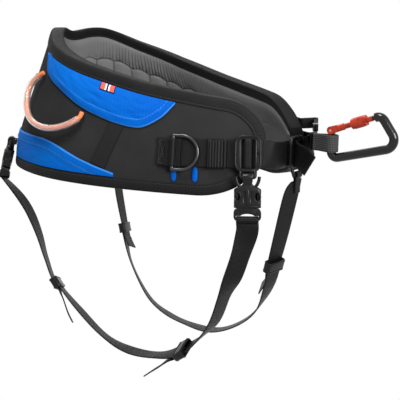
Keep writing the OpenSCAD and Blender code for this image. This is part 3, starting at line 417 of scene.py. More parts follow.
# %% [markdown]
# ## The belt's surface
# %% Belt functions
BACK_X = 234
ARCS = ((100, 30), (150, 70), (600, 15), (380, 11))   # radius and turn of each stretch
FLARE = 0.37
LEAN_TOP, LEAN_RUN = -10, 140
NOSE_TOP, NOSE_LOW, TIP_H, TIP_FLAT = 42, 76, -17, 0.6
S_END = sum(r*radians(turn) for r, turn in ARCS)
TOP = ((0, 100), (80, 104), (160, 83), (245, 61), (330, 41), (S_END, 19))
LOW = ((0, -74), (140, -69), (280, -74), (S_END, -79))
LINING_IN = -14.6
SKIN = 0.45
HEM = 12.2


def plan(s):
    """Place and heading of the belt in plan, s mm from the back centre."""
    x, y, a = -BACK_X, 0.0, radians(90)
    for k, (r, turn) in enumerate(ARCS):
        length = r*radians(turn)
        step = s if k == len(ARCS) - 1 else min(s, length)
        b = a - step/r
        x, y = x + r*(sin(a) - sin(b)), y + r*(cos(b) - cos(a))
        a = b
        s -= step
        if s <= 0:
            break
    return x, y, a


def lean_out(h):
    if h > LEAN_TOP:
        return -FLARE*h
    d = LEAN_TOP - h
    return FLARE*(-LEAN_TOP + d - d*d/LEAN_RUN)


def belt(s, h, w):
    """The point at s, h, w in millimetres; s < 0 is the left side."""
    x, y, a = plan(abs(s))
    o = w + lean_out(h)
    side = -1 if s >= 0 else 1
    return Vector((x - sin(a)*o, side*(y + cos(a)*o), h))


def smooth(x, knots):
    i = 0
    while i < len(knots) - 2 and x > knots[i+1][0]:
        i += 1
    def slope(k):
        if k == 0:
            return 0
        a, b = knots[k-1], knots[min(k + 1, len(knots) - 1)]
        return (b[1] - a[1])/(b[0] - a[0])
    d = knots[i+1][0] - knots[i][0]
    t = min(max((x - knots[i][0])/d, 0), 1)
    return ((2*t**3 - 3*t*t + 1)*knots[i][1] + (t**3 - 2*t*t + t)*slope(i)*d
            + (3*t*t - 2*t**3)*knots[i+1][1] + (t**3 - t*t)*slope(i+1)*d)


def nose(s, r):
    q = max(0, (s - (S_END - r))/r)
    return sqrt(max(0, 1 - q*q))


def top(s):
    return TIP_H + (smooth(abs(s), TOP) - TIP_H)*nose(abs(s), NOSE_TOP)


def low(s):
    return TIP_H + (smooth(abs(s), LOW) - TIP_H)*nose(abs(s), NOSE_LOW)


def belt_axes(s, h):
    """Forward along the belt, up it, and outward."""
    x, y, a = plan(abs(s))
    k = FLARE if h > LEAN_TOP else FLARE*(1 - 2*(LEAN_TOP - h)/LEAN_RUN)
    ahead = Vector((cos(a), -sin(a), 0))
    up = Vector((sin(a)*k, cos(a)*k, 1)).normalized()
    outward = ahead.cross(up)
    if s < 0:
        ahead, up, outward = [Vector((v.x, -v.y, v.z)) for v in (ahead, up, outward)]
    return ahead, up, outward


def belt_frame(s, h, w):
    """A matrix that puts a part built at the origin on the belt."""
    ahead, up, outward = belt_axes(s, h)
    m = Matrix((ahead, up, outward)).transposed().to_4x4()
    m.translation = belt(s, h, w)*MM
    return m


def evenly(a, b, n):
    return [a + (b - a)*i/n for i in range(n + 1)]


def stations(step, inset=0.0):
    """Places along the whole belt, closer together round the wings' tips."""
    flat = S_END - NOSE_TOP
    half = evenly(0, flat, ceil(flat/step))
    half += [flat + (NOSE_TOP - TIP_FLAT)*sin(pi/2*i/16) for i in range(1, 17)]
    shrink = (S_END - TIP_FLAT - inset)/(S_END - TIP_FLAT)
    half = [s*shrink for s in half]
    return [-s for s in reversed(half[1:])] + half


def ripple(a, b, scale, depth, seed=0.0):
    """Soft wandering relief, in mm."""
    return depth*noise.noise(Vector((a/scale, b/scale, seed)))


def ease(x, reach):
    """0 at an edge, 1 further in than reach, round in between."""
    q = 1 - min(max(x/reach, 0), 1)
    return sqrt(max(0, 1 - q*q))


print("belt length laid out:", round(2*S_END), "mm")

# %% [markdown]
# ## Making pieces
# Soft goods are closed meshes over a grid, or a section carried along a path. Each has a
# cloth map in metres, so that weave and stitches keep their size.
# %% Mesh tools
def select_only(*pieces):
    bpy.ops.object.select_all(action="DESELECT")
    for piece in pieces:
        piece.select_set(True)
    bpy.context.view_layer.objects.active = pieces[0]


def new_piece(name, points, faces, flat):
    """A mesh object at the origin, from points in mm and their places on the cloth."""
    mesh = bpy.data.meshes.new(name)
    mesh.from_pydata([p*MM for p in points], [], faces)
    layer = mesh.uv_layers.new(name="cloth")
    for loop in mesh.loops:
        a, b = flat[loop.vertex_index]
        layer.data[loop.index].uv = (a*MM, b*MM)
    work = bmesh.new()
    work.from_mesh(mesh)
    bmesh.ops.recalc_face_normals(work, faces=work.faces)
    work.to_mesh(mesh)
    work.free()
    piece = bpy.data.objects.new(name, mesh)
    scene.collection.objects.link(piece)
    return piece


def slab(name, us, vs, spot, w_in, w_out, cloth=None):
    """A closed cloth piece over a grid: spot(u, v) gives s, h and w_in, w_out its faces."""
    nu, nv = len(us), len(vs)
    points, flat = [], []
    for face in (w_in, w_out):
        for u in us:
            for v in vs:
                s, h = spot(u, v)
                points.append(belt(s, h, face(u, v)))
                flat.append(cloth(u, v) if cloth else (s, h))
    def at(z, i, j):
        return (z*nu + i)*nv + j
    faces = []
    for z in (0, 1):
        faces += [(at(z, i, j), at(z, i+1, j), at(z, i+1, j+1), at(z, i, j+1))
                  for i in range(nu-1) for j in range(nv-1)]
    for j in (0, nv-1):
        faces += [(at(0, i, j), at(0, i+1, j), at(1, i+1, j), at(1, i, j)) for i in range(nu-1)]
    for i in (0, nu-1):
        faces += [(at(0, i, j), at(0, i, j+1), at(1, i, j+1), at(1, i, j)) for j in range(nv-1)]
    return new_piece(name, points, faces, flat)


def ring_faces(n, m, rounds):
    """Faces between n rings of m points each; rounds of n closes the loop."""
    return [(i*m + k, i*m + (k+1) % m, ((i+1) % n)*m + (k+1) % m, ((i+1) % n)*m + k)
            for i in range(rounds) for k in range(m)]


def sweep(name, frames, section, closed=False, across=None):
    """Carries a section (a, b), fixed or a function of 0 to 1, along frames (place, a axis, b axis)."""
    n = len(frames)
    points, flat, run = [], [], 0.0
    for i, (place, a_way, b_way) in enumerate(frames):
        if i:
            run += (place - frames[i-1][0]).length
        shape = section(i/(n - 1)) if callable(section) else section
        for k, (a, b) in enumerate(shape):
            points.append(place + a_way*a + b_way*b)
            flat.append((run, across[k] if across else a))
    m = len(points)//n
    faces = ring_faces(n, m, n if closed else n - 1)
    if not closed:
        faces += [tuple(range(m)), tuple(range(n*m - 1, n*m - m - 1, -1))]
    return new_piece(name, points, faces, flat)


def flat_section(wide, thick, steps=8):
    """A strap's section: flat faces and rounded edges."""
    half, r = wide/2, thick/2
    side = [(-half + 0.25, 0.75*r), (-half + 0.9, r)]
    side += [(-half + wide*k/steps, r) for k in range(1, steps)]
    side += [(half - 0.9, r), (half - 0.25, 0.75*r), (half, 0)]
    return [(-half, 0)] + side + [(a, -b) for a, b in reversed(side[:-1])]


def round_section(r, sides=20):
    return [(r*cos(2*pi*k/sides), r*sin(2*pi*k/sides)) for k in range(sides)]


def catmull(points, x):
    i = min(int(x), len(points) - 2)
    t = x - i
    a, b, c, d = (points[min(max(k, 0), len(points) - 1)] for k in (i - 1, i, i + 1, i + 2))
    return 0.5*(2*b + (c - a)*t + (2*a - 5*b + 4*c - d)*t*t + (3*b - a - 3*c + d)*t**3)


def route_frames(route, per, shift=0.0, first=0, last=None, curl=0.0):
    """Frames along a route of (place, width direction); shift moves it off its middle."""
    places = [Vector(p) for p, way in route]
    ways = [Vector(way) for p, way in route]
    last = len(route) - 1 if last is None else last
    steps = [first + (last - first)*i/((last - first)*per) for i in range((last - first)*per + 1)]
    line = [catmull(places, x) for x in steps]
    frames = []
    for i, x in enumerate(steps):
        before = line[i-1] if i else 2*line[0] - line[1]
        after = line[i+1] if i < len(line) - 1 else 2*line[-1] - line[-2]
        t = (after - before).normalized()
        v = catmull(ways, x)
        a = (v - v.dot(t)*t).normalized()
        b = t.cross(a)
        frames.append((line[i] + b*(shift + ripple(x, shift, 1.1, curl)), a, b))
    return frames


def heading(line, i):
    return (line[min(i+1, len(line)-1)] - line[max(i-1, 0)]).normalized()


def tube_frames(line):
    """Frames along a line of points, without twist."""
    frames, a = [], None
    for i, p in enumerate(line):
        t = heading(line, i)
        a = t.orthogonal().normalized() if a is None else (a - a.dot(t)*t).normalized()
        frames.append((p, a, t.cross(a)))
    return frames


def strap(name, frames, wide, thick, closed=False):
    section = flat_section(wide, thick)
    return sweep(name, frames, section, closed, [a + wide/2 for a, b in section])


def placed(piece, matrix):
    """Moves a piece built at the origin to its place, in its mesh."""
    piece.data.transform(matrix)
    if matrix.determinant() < 0:
        piece.data.flip_normals()
    return piece


def local_frames(path, width_axis, matrix):
    """Frames of a path drawn in a part's own axes (mm), for a strap folded in that plane."""
    a = (matrix.to_3x3() @ Vector(width_axis)).normalized()
    line = [matrix @ (Vector(p)*MM)/MM for p in path]
    frames = []
    for i, p in enumerate(line):
        t = heading(line, i)
        frames.append((p, a, t.cross(a)))
    return frames


def join(name, *pieces):
    select_only(*pieces)
    bpy.ops.object.join()
    pieces[0].name = name
    return pieces[0]


def apply_modifier(piece, kind, **settings):
    select_only(piece)
    made = piece.modifiers.new(kind, kind)
    for key, value in settings.items():
        setattr(made, key, value)
    bpy.ops.object.modifier_apply(modifier=made.name)


def cut(body, *tools, operation="DIFFERENCE"):
    """Takes the tools out of the body."""
    for tool in tools:
        apply_modifier(body, "BOOLEAN", operation=operation, object=tool, solver="EXACT")
        bpy.data.objects.remove(tool)
    return body


def fuse(body, *others):
    return cut(body, *others, operation="UNION")


def paint(piece, look, angle):
    """Smooth shading and one material."""
    select_only(piece)
    bpy.ops.object.shade_smooth_by_angle(angle=radians(angle))
    piece.data.materials.clear()
    piece.data.materials.append(look)


def dress(piece, slot, nodes=(), body="belt", look=None, angle=40):
    """Gives a finished piece its material and its body, and hides the CAD nodes it stands for."""
    paint(piece, look or LOOKS[slot], angle)
    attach(piece, body)
    if nodes:
        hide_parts(*nodes)
    return piece


# one stitch: a low bead, as shares of its half length, half width and height
STITCH_POINTS = ((-1, 0, 0), (-.6, -1, .6), (-.6, 1, .6), (.6, -1, .6), (.6, 1, .6), (1, 0, 0),
                 (0, 0, 1.3), (0, -1, -.5), (0, 1, -.5))
STITCH_FACES = ((0, 1, 2), (1, 6, 2), (1, 3, 6), (2, 6, 4), (3, 4, 6), (3, 5, 4), (0, 7, 1),
                (1, 7, 3), (3, 7, 5), (0, 2, 8), (2, 4, 8), (4, 5, 8), (0, 8, 7), (7, 8, 5))


def stitch_row(name, spots, length=2.2, wide=0.7, high=0.35):
    """Raised stitches: spots are (place, along, outward) in mm, one per stitch."""
    points, faces, flat = [], [], []
    for place, along, outward in spots:
        aside = along.cross(outward)
        n = len(points)
        for x, y, z in STITCH_POINTS:
            points.append(place + along*(x*length/2) + aside*(y*wide/2) + outward*(z*high))
            flat.append((x*length/2, y))
        faces += [tuple(n + k for k in f) for f in STITCH_FACES]
    return new_piece(name, points, faces, flat)


print("mesh tools ready")

# %% [markdown]
# ## The belt's layers
# %% Shell and foam
ROWS = 30


def on_layer(inset):
    def spot(s, t):
        a, b = low(s) + inset, top(s) - inset
        return s, a + (b - a)*t
    return spot


shell = slab("Outer_cover", stations(6), evenly(0, 1, ROWS), on_layer(0), lambda s, t: -2.0,
             lambda s, t: ripple(s, t*90, 34, 0.3))
dress(shell, "shell_cloth", ["outer_shell"])
foam = slab("Foam", stations(10), evenly(0, 1, 12), on_layer(1.5), lambda s, t: -12.3, lambda s, t: -2.3)
dress(foam, "foam", ["foam_core"])

# %% [markdown]
# The lining is quilted: pads under a seam that follows the top edge, and fine gathers
# above the seam where the cloth is eased round the hip.
# %% Lining
SEAM_DROP = 43       # from the top edge to the long seam
PAD_PUFF = 4.2


def long_seam(s):
    """Height of the scalloped seam that runs along the lining."""
    return top(s) - SEAM_DROP + 3.5*abs(sin(pi*s/PAD_PITCH)) + ripple(s, 0, 30, 3)


def quilting(s, t):
    """Relief of the lining towards the wearer, in mm."""
    a, b = low(s), top(s)
    h = a + (b - a)*t
    seam = long_seam(s)
    quilted = min(1, max(0, 2.8 - abs(abs(s) - 175)/60))
    inside = ease(min(h - a, b - h) - 11, 12)
    if inside == 0:
        return 0.0
    if h < seam:
        upright = abs(sin(pi*s/PAD_PITCH))**0.45
        lying = ease(seam - h, 15)
        pad = 1 - quilted*(1 - 0.35 - 0.65*upright*lying)
        return PAD_PUFF*inside*pad + ripple(s, h, 16, 0.35)
    fade = max(0.0, 1 - (h - seam)/38)
    pull = sin(2*pi*s/6.3 + ripple(s, h, 20, 2.2))*max(0.0, 1 - abs(abs(s) - 190)/170)
    pad = 1 - quilted*(1 - 0.75*ease(h - seam, 12))
    return PAD_PUFF*inside*pad + 0.8*fade*pull*inside + ripple(s, h, 24, 0.4)


lining = slab("Lining", stations(1.9), evenly(0, 1, ROWS*2), on_layer(0),
              lambda s, t: LINING_IN - quilting(s, t), lambda s, t: -12.6,
              lambda s, t: (s, low(s) + (top(s) - low(s))*t - long_seam(s)))
dress(lining, "lining_cloth", ["inner_lining"])
print("layers:", len(shell.data.polygons), len(foam.data.polygons), len(lining.data.polygons))

# %% [markdown]
# The binding tape is folded over the edge all the way round.
# %% Binding
# (distance in from the belt's edge, distance outward), once round the folded tape
BIND_SECTION = ((11, 0.55), (11, 1.2), (9.8, 1.32), (9.2, 1.2), (8.6, 1.4), (6, 1.65), (3, 1.75),
                (1, 1.6), (-0.7, 1.0), (-1.6, -0.4), (-1.8, -3), (-1.8, -7.3), (-1.8, -11.6),
                (-1.6, -14.2), (-0.7, -15.6), (1, -16.2), (3, -16.35), (6, -16.25), (8.6, -16.0),
                (9.2, -15.8), (9.8, -15.92), (11, -15.8), (11, -15.15), (3, -15), (-0.2, -14.7),
                (-0.3, -7), (-0.2, 0.1), (3, 0.45))
half_way = stations(3.0)
edge = [(s, top(s)) for s in half_way] + [(s, low(s)) for s in reversed(half_way)]
points, flat, run = [], [], 0.0
for i, (s, h) in enumerate(edge):
    before, after = edge[i-1], edge[(i + 1) % len(edge)]
    ds, dh = after[0] - before[0], after[1] - before[1]
    size = sqrt(ds*ds + dh*dh)
    run += sqrt((s - before[0])**2 + (h - before[1])**2) if i else 0
    for q, w in BIND_SECTION:
        pucker = ripple(run, q, 5, 0.16) if q > -1 else 0
        w += pucker if w > 0.5 else -pucker if w < -15.5 else 0
        points.append(belt(s + dh/size*q, h - ds/size*q, w))
        flat.append((run, q))
binding = new_piece("Binding", points, ring_faces(len(edge), len(BIND_SECTION), len(edge)), flat)
dress(binding, "binding_tape", ["edge_binding"], angle=50)
print("binding runs", round(run), "mm")

# %% [markdown]
# ## Sewn panels
# %% Pockets
POCKET = ((143, 74), (161, 53), (205, 32), (255, 9), (318, -6), (346, 5), (363, 22))
POCKET_REAR, POCKET_FRONT, POCKET_PUFF = POCKET[0][0], POCKET[-1][0], 4
SIDES = (("right", 1), ("left", -1))


def pocket_top(s):
    return top(s) - HEM


def pocket_low(s):
    return min(smooth(abs(s), POCKET), pocket_top(s) - 1.5)


def pocket_face(s, t):
    """How far a point of the pocket stands out, t from 0 at its hem to 1 at the top."""
    a = abs(s)
    up = t*(pocket_top(a) - pocket_low(a))
    body = POCKET_PUFF*sin(pi*t)**0.8*sin(pi*min(max((a - POCKET_REAR)/(POCKET_FRONT - POCKET_REAR), 0), 1))
    hem = 0.55*ease(up, 2.0)*ease(9.5 - up, 2.5)
    sag = ripple(s + 0.6*up, up*2.2, 13, 0.8)*sin(pi*t) + ripple(s, up, 30, 0.6)*sin(pi*t)
    return SKIN + 1.0*ease(min(up + 0.6, 3), 1.6) + 0.2 + body + hem + sag


def hem_map(s, t):
    """The cloth map of a pocket, from its hem."""
    slope = (smooth(abs(s) + 1, POCKET) - smooth(abs(s) - 1, POCKET))/2
    return s, t*(pocket_top(s) - pocket_low(s))/sqrt(1 + slope*slope)


def on_skin(u, v):
    """The inner face of every sewn panel."""
    return SKIN


for side, sign in SIDES:
    us = [sign*u for u in evenly(POCKET_REAR + 1.5, POCKET_FRONT - 1, 130)]
    piece = slab("Pocket_" + side, us, evenly(0, 1, 44),
                 lambda s, t: (s, pocket_low(s) + (pocket_top(s) - pocket_low(s))*t),
                 on_skin, pocket_face, hem_map)
    dress(piece, "blue_cloth", ["pocket_" + side])

# %% Rear panels and diagonal bands
REAR = ((62, -25), (160, -24), (205, -28), (250, -45), (294, -58.5))
BAND_TOP, BAND_W, BAND_LEAN = 293, 18, 0.4
REAR_FIRST, REAR_LAST = REAR[0][0], REAR[-1][0]


def rear_top(s):
    return max(smooth(abs(s), REAR), low(s) + HEM + 1)


def rear_rise(s):
    """Height of the rear panel at s."""
    return rear_top(s) - low(s) - HEM


def rear_face(s, t):
    up = (1 - t)*rear_rise(s)
    return SKIN + 1.0*ease(up + 0.5, 1.6) + 0.35*ease(9.5 - up, 2.5) + ripple(s, up*2, 16, 0.35)*(1 - t)*t*3


def band_spot(u, v):
    """A point of the right band, which leans back as it drops from the pocket."""
    s1 = BAND_TOP + BAND_W*(u - 0.5)
    h1 = smooth(s1, POCKET) - 1
    g = -53 - 4*u
    h0 = max(smooth(s1 + BAND_LEAN*(g - h1), REAR) + 1.5, g)
    h = h0 + (h1 - h0)*v
    return s1 + BAND_LEAN*(h - h1), h


def mirrored(spot, sign):
    def other(u, v):
        s, h = spot(u, v)
        return sign*s, h
    return other


for side, sign in SIDES:
    us = [sign*u for u in evenly(REAR_FIRST, REAR_LAST, 90)]
    piece = slab("Rear_panel_" + side, us, evenly(0, 1, 16),
                 lambda s, t: (s, low(s) + HEM + rear_rise(s)*t), on_skin, rear_face,
                 lambda s, t: (s, (1 - t)*rear_rise(s)))
    dress(piece, "blue_cloth", ["rear_panel_" + side])
    piece = slab("Band_" + side, evenly(0, 1, 14), evenly(0, 1, 24), mirrored(band_spot, sign), on_skin,
                 lambda u, v: SKIN + 0.25 + 1.05*ease(min(u, 1 - u)*BAND_W + 0.3, 1.8),
                 lambda u, v: (v*60, u*BAND_W))
    dress(piece, "band_tape", ["band_" + side])

# %% Tabs and tag
TAB_S, TAB_PITCH, TAB_H, TAB_W, TAB_TALL = 366, 24, -55, 6, 17


def tab_face(u, v):
    return SKIN + 0.25 + 1.5*sqrt(max(0, 1 - 0.9*u*u))*sqrt(max(0, 1 - v**4))


for side, sign in SIDES:
    pair = []
    for k in (0, 1):
        def oval(u, v):
            half = TAB_W/2*max(1 - abs(v)**3.2, 0.02)**0.5
            return sign*(TAB_S + TAB_PITCH*k + half*u), TAB_H + TAB_TALL/2*v
        pair.append(slab("Tab", evenly(-1, 1, 10), [sin(pi/2*t) for t in evenly(-1, 1, 18)], oval,
                         on_skin, tab_face, lambda u, v: (u*3, 20 + v*8)))
    dress(join("Tabs_" + side, *pair), "blue_cloth", ["tabs_" + side])

TAG_S, TAG_W, TAG_L = 276, 20, 7.5


def tag_spot(s, t):
    return s, pocket_top(s) - TAG_L*(1 - t)


def tag_up(s, t):
    return 1 - TAG_L*(1 - t)/(pocket_top(s) - pocket_low(s))


tag = slab("Woven_tag", evenly(TAG_S - TAG_W/2, TAG_S + TAG_W/2, 24), evenly(0, 1, 14), tag_spot,
           lambda s, t: pocket_face(s, tag_up(s, t)) + 0.25,
           lambda s, t: pocket_face(s, tag_up(s, t)) + 1.1,
           lambda s, t: (s - TAG_S, TAG_L*t))
dress(tag, "tag_cloth", ["woven_tag"])
print("panels done")

# %% [markdown]
# ## Gear loops
# A braided cord in a clear sheath, sewn in at both ends under the pocket's hem.
# %% Gear loops
GEAR = ((157.5, 51, 4.8), (152, 48, 7), (143.5, 40, 10.5), (142.5, 30, 12.5), (149, 19, 13.5),
        (157, 9.5, 14), (169, 0.5, 14), (183, -6.5, 13.5), (197, -10, 13), (210, -11, 12),
        (222, -9, 11), (232, -5.5, 9.5), (240, -1, 7.5), (245.5, 3.5, 5.6), (247, 8.8, 4.8))
CORD_R, SHEATH_IN, SHEATH_R = 2.7, 3.1, 4.1
for side, sign in SIDES:
    path = [catmull([Vector(p) for p in GEAR], x) for x in evenly(0, len(GEAR) - 1, 84)]
    line = [belt(sign*p.x, p.y, p.z) for p in path]
    cord = sweep("Gear_cord_" + side, tube_frames(line), round_section(CORD_R),
                 across=evenly(0, 2*pi*CORD_R, 19))
    dress(cord, "cord", ["gear_cord_" + side])
    short = tube_frames(line)[7:-8]
    tube = sweep("Gear_sheath_" + side, short, round_section(SHEATH_R), across=evenly(0, 20, 19))
    bore = sweep("bore", tube_frames(line)[6:-7], round_section(SHEATH_IN))
    dress(cut(tube, bore), "clear_sheath", ["gear_sheath_" + side], angle=50)
print("gear loops done")

# %% [markdown]
# ## Side webbing
# %% Side straps, ring loops and keepers
WEB_W, WEB_T, WEB_H = 32, 1.8, -30.5
HALF_H = WEB_W/2*cos(atan(FLARE))
OVER = 1.7
LIFT_S, LIFT_L = 425.5, 7
BUCKLE_S, BUCKLE_L, BUCKLE_T = 447, 30, 3.4
RING_S, RING_WIRE = 365, 4
KEEPER_S, KEEPER_L = 414, 21
FOLD_IN, GAP = 2.9, 0.3
WEB_OUT = SKIN + WEB_T
RING_W = WEB_OUT + RING_WIRE/2 + GAP
BUCKLE_W = WEB_OUT + (OVER - SKIN) + GAP


def climb(s):
    """The webbing lies on the shell, and climbs over the binding in front of the keeper."""
    t = min(max((s - LIFT_S)/LIFT_L, 0), 1)
    return SKIN + (OVER - SKIN)*t*t*(3 - 2*t)


def belt_strap(name, first, last, sign):
    frames = []
    for s in evenly(first, last, 60):
        ahead, up, outward = belt_axes(sign*s, WEB_H)
        frames.append((belt(sign*s, WEB_H, climb(s) + WEB_T/2 + ripple(s, sign, 9, 0.12)), up, outward))
    return strap(name, frames, WEB_W, WEB_T)


def bulge(x, n):
    """A sine or cosine with squarer shoulders."""
    return (1 if x > 0 else -1)*abs(x)**n


def bar_fold(name, matrix, wide):
    """Webbing folded round a plate buckle's middle bar."""
    r, z0, z1 = FOLD_IN + WEB_T/2, -GAP - WEB_T/2, BUCKLE_T + GAP + WEB_T/2
    mid, tall = (z0 + z1)/2, (z1 - z0)/2
    path = [(r*bulge(cos(a), 0.5), 0, mid + tall*bulge(sin(a), 0.5))
            for a in [2*pi*k/48 for k in range(48)]]
    frames = local_frames(path, (0, 1, 0), matrix)
    t = (frames[1][0] - frames[-1][0]).normalized()
    frames[0] = (frames[0][0], frames[0][1], t.cross(frames[0][1]))
    t = (frames[0][0] - frames[-2][0]).normalized()
    frames[-1] = (frames[-1][0], frames[-1][1], t.cross(frames[-1][1]))
    return strap(name, frames, wide, WEB_T, closed=True)


def box_stitch(name, s0, s1, sign, w):
    """Stitches round a rectangle on the strap, with a cross in it."""
    spots = []
    half = WEB_W/2 - 3
    corners = [(s0, -half), (s1, -half), (s1, half), (s0, half), (s0, -half), (s1, half),
               (s1, -half), (s0, half)]
    for (sa, ha), (sb, hb) in zip(corners, corners[1:]):
        if sa == sb and (sa, ha) == corners[6]:
            continue
        n = max(2, round(sqrt((sb - sa)**2 + (hb - ha)**2)/2.9))
        for k in range(n):
            t = (k + 0.5)/n
            s, y = sa + (sb - sa)*t, ha + (hb - ha)*t
            ahead, up, outward = belt_axes(sign*s, WEB_H)
            along = (ahead*(sb - sa) + up*(hb - ha)).normalized()
            spots.append((belt(sign*s, WEB_H, w) + up*y, along, outward))
    return stitch_row(name, spots)


def keeper_face(s, t):
    """Elastic keeper: two ribbed layers, rolled at the front end."""
    a = abs(s) - KEEPER_S
    layer = 2*WEB_T if a < 0.2*KEEPER_L else WEB_T
    past = a - KEEPER_L/2 + 2
    roll = 2.2*sqrt(max(0, 1 - (past/2.2)**2)) if abs(past) < 2.2 else 0
    edge = ease(KEEPER_L/2 - abs(a) + 0.2, 1.2)*ease(min(t, 1 - t)*WEB_W + 0.3, 1.0)
    ridge = 0.7*abs(sin(pi*a/3.1))
    return WEB_OUT + GAP + max(0.4, (max(layer, roll + 1.0) + ridge)*edge)


STRAP_FIRST = 346    # where both side straps start, along the belt
side_straps = {}
for side, sign in SIDES:
    last = BUCKLE_S - FOLD_IN - WEB_T + 0.3 if side == "right" else S_END - 8
    side_straps[side] = belt_strap("Side_strap_" + side, STRAP_FIRST, last, sign)
    if side == "right":
        fold = bar_fold("fold", belt_frame(BUCKLE_S, WEB_H, BUCKLE_W), WEB_W)
        dress(join("Side_strap_right", side_straps[side], fold), "webbing", ["side_strap_right"])
    dress(box_stitch("Side_stitches_" + side, STRAP_FIRST + 2.5, STRAP_FIRST + 10, sign, WEB_OUT + 0.1),
          "webbing", look=THREAD_DARK)
    # webbing folded over the ring's bar, with a sewn foot on either side
    m = belt_frame(sign*RING_S, WEB_H, RING_W)
    r, foot, base = RING_WIRE/2 + GAP + WEB_T/2, 5, -RING_WIRE/2 + 0.1 + WEB_T/2
    path = [(-r - WEB_T/2 - foot + 5*t, 0, base) for t in evenly(0, 1, 4)]
    path += [(-r*cos(a), 0, base + 0.6 + (r + 1.0)*sin(a)) for a in evenly(0.05, pi - 0.05, 20)]
    path += [(r + WEB_T/2 + 5*t, 0, base) for t in evenly(0, 1, 4)]
    loop = strap("Ring_loop_" + side, local_frames(path, (0, 1, 0), m), WEB_W, WEB_T)
    dress(loop, "webbing", ["ring_loop_" + side])
    half = KEEPER_L/2
    us = [sign*s for s in evenly(KEEPER_S - half, KEEPER_S + half, 110)]
    keeper = slab("Keeper_" + side, us, evenly(0, 1, 24),
                  lambda s, t: (s, WEB_H + (HALF_H + 0.6)*(2*t - 1)),
                  lambda s, t: WEB_OUT + 0.1, keeper_face, lambda s, t: (s*0.55, t*WEB_W))
    dress(keeper, "webbing", ["keeper_" + side])
print("side webbing done")

# %% [markdown]
# ## Between the wings
# What hangs between the wings' tips is placed for this belt's tips, in millimetres.
# %% Bridge, tow webbing and tie loop
UP = (0, 0, 1)
TIP_UP = tuple(belt_axes(S_END, WEB_H)[1])
LEFT_UP = (TIP_UP[0], -TIP_UP[1], TIP_UP[2])
OVER_MID = OVER + WEB_T/2
ANCHOR_W = OVER + WEB_T + GAP + WEB_T/2
start = BUCKLE_S + FOLD_IN + WEB_T + 0.5


def upright(*places):
    """Stations of a strap whose width stands upright."""
    return [(place, UP) for place in places]


BRIDGE = [(belt(s, WEB_H, OVER_MID), TIP_UP) for s in (start, start + 6, S_END + 1)] + upright(
    (160.4, -42, -32.5), (161, -32, -34), (158.6, -19, -35.5), (154.6, -6, -37), (151.6, 4.5, -38),
    (152.4, 15.6, -38))
TAIL = upright((158.6, 20, -37), (159.8, 14, -37.5)) + [
    ((163, 10, -39), (0.2, 0, 1)), ((172, 7, -42), (0.5, 0, 1)), ((184, 2, -49), (0.6, 0, 1))]
ANCHOR = upright((152.7, 25.4, -38), (153.2, 34, -38), (158, 40, -36), (161.5, 45.5, -33)) + [
    ((160.5, 50.5, -31.5), LEFT_UP)] + [
    (belt(d - S_END, WEB_H, ANCHOR_W), LEFT_UP) for d in (1, 8, 15)]
TOW = upright((164.3, 53, -25), (164.8, 47, -25)) + [
    ((168.5, 38, -24), (0, 0.3, 1)), ((175, 25, -22.5), (0, 0.5, 1)),
    ((180, 13, -20.5), (0, 0.2, 1))] + upright((184, 4, -19.6), (187.6, 0.8, -19.6))
SPARE = [(belt(d - S_END, -6, 3.6), LEFT_UP) for d in (16, 7, 0)] + upright(
    (164, 55, -5.5), (167, 44, -5), (173, 32, -6.6), (178.6, 23, -6.7), (186, 13, -5.5))
LEFT_BUCKLE = (Matrix.Translation(Vector((154, 20, -38))*MM) @ Matrix.Rotation(radians(86), 4, "Z")
               @ Matrix.Rotation(radians(90), 4, "X"))
bridge = join("Bridge_strap", strap("bridge", route_frames(BRIDGE, 12, curl=0.4), WEB_W - 1, WEB_T),
              strap("tail", route_frames(TAIL, 12, curl=0.4), WEB_W - 5, WEB_T),
              bar_fold("fold", LEFT_BUCKLE, WEB_W - 1))
dress(bridge, "webbing", ["bridge_strap"])
left_side = join("Side_strap_left", side_straps["left"],
                 strap("anchor", route_frames(ANCHOR, 10, curl=0.2), WEB_W - 3, WEB_T))
dress(left_side, "webbing", ["side_strap_left"])

TOW_W, TIE_MID, PIVOT_X = 19.4, -19.6, 211
tow = join("Tow_strap", strap("tow", route_frames(TOW, 10, curl=0.3), TOW_W, 2*WEB_T),
           sweep("spare", route_frames(SPARE, 10, curl=0.2),
                 lambda t: flat_section(13 - 6*min(max((t - 0.4)/0.3, 0), 1), 1.6)))
dress(tow, "webbing", ["tow_strap"])

TIE_IN, TIE_T, TIE_TAIL = 5.6, 2.1, 16
r = TIE_IN + TIE_T/2
path = [(-TIE_TAIL - 6, -1.15, 0), (-TIE_TAIL - 3, -1.15, 0), (-TIE_TAIL, -1.25, 0),
        (-12, -2.6, 0), (-6, -5.0, 0), (-2, -r + 0.3, 0)]
path += [(r*sin(a), -r*cos(a), 0) for a in evenly(0, pi, 20)]
path += [(x, -y, z) for x, y, z in reversed(path[:6])]
at_tie = Matrix.Translation(Vector((PIVOT_X, 0, TIE_MID))*MM)
tie = strap("Tie_loop", local_frames(path, (0, 0, 1), at_tie), TOW_W, TIE_T)
dress(tie, "webbing", ["tie_loop"], look=make_tie_look())
spots = []
for x in (-20.5, -18, -15.5):
    for k in range(6):
        z = TIE_MID + (k - 2.5)*2.9
        spots.append((Vector((PIVOT_X + x, -2.35, z)), Vector((0, 0, 1)), Vector((0, -1, 0))))
dress(stitch_row("Tie_stitches", spots), "webbing", look=THREAD_DARK)
print("front webbing done")

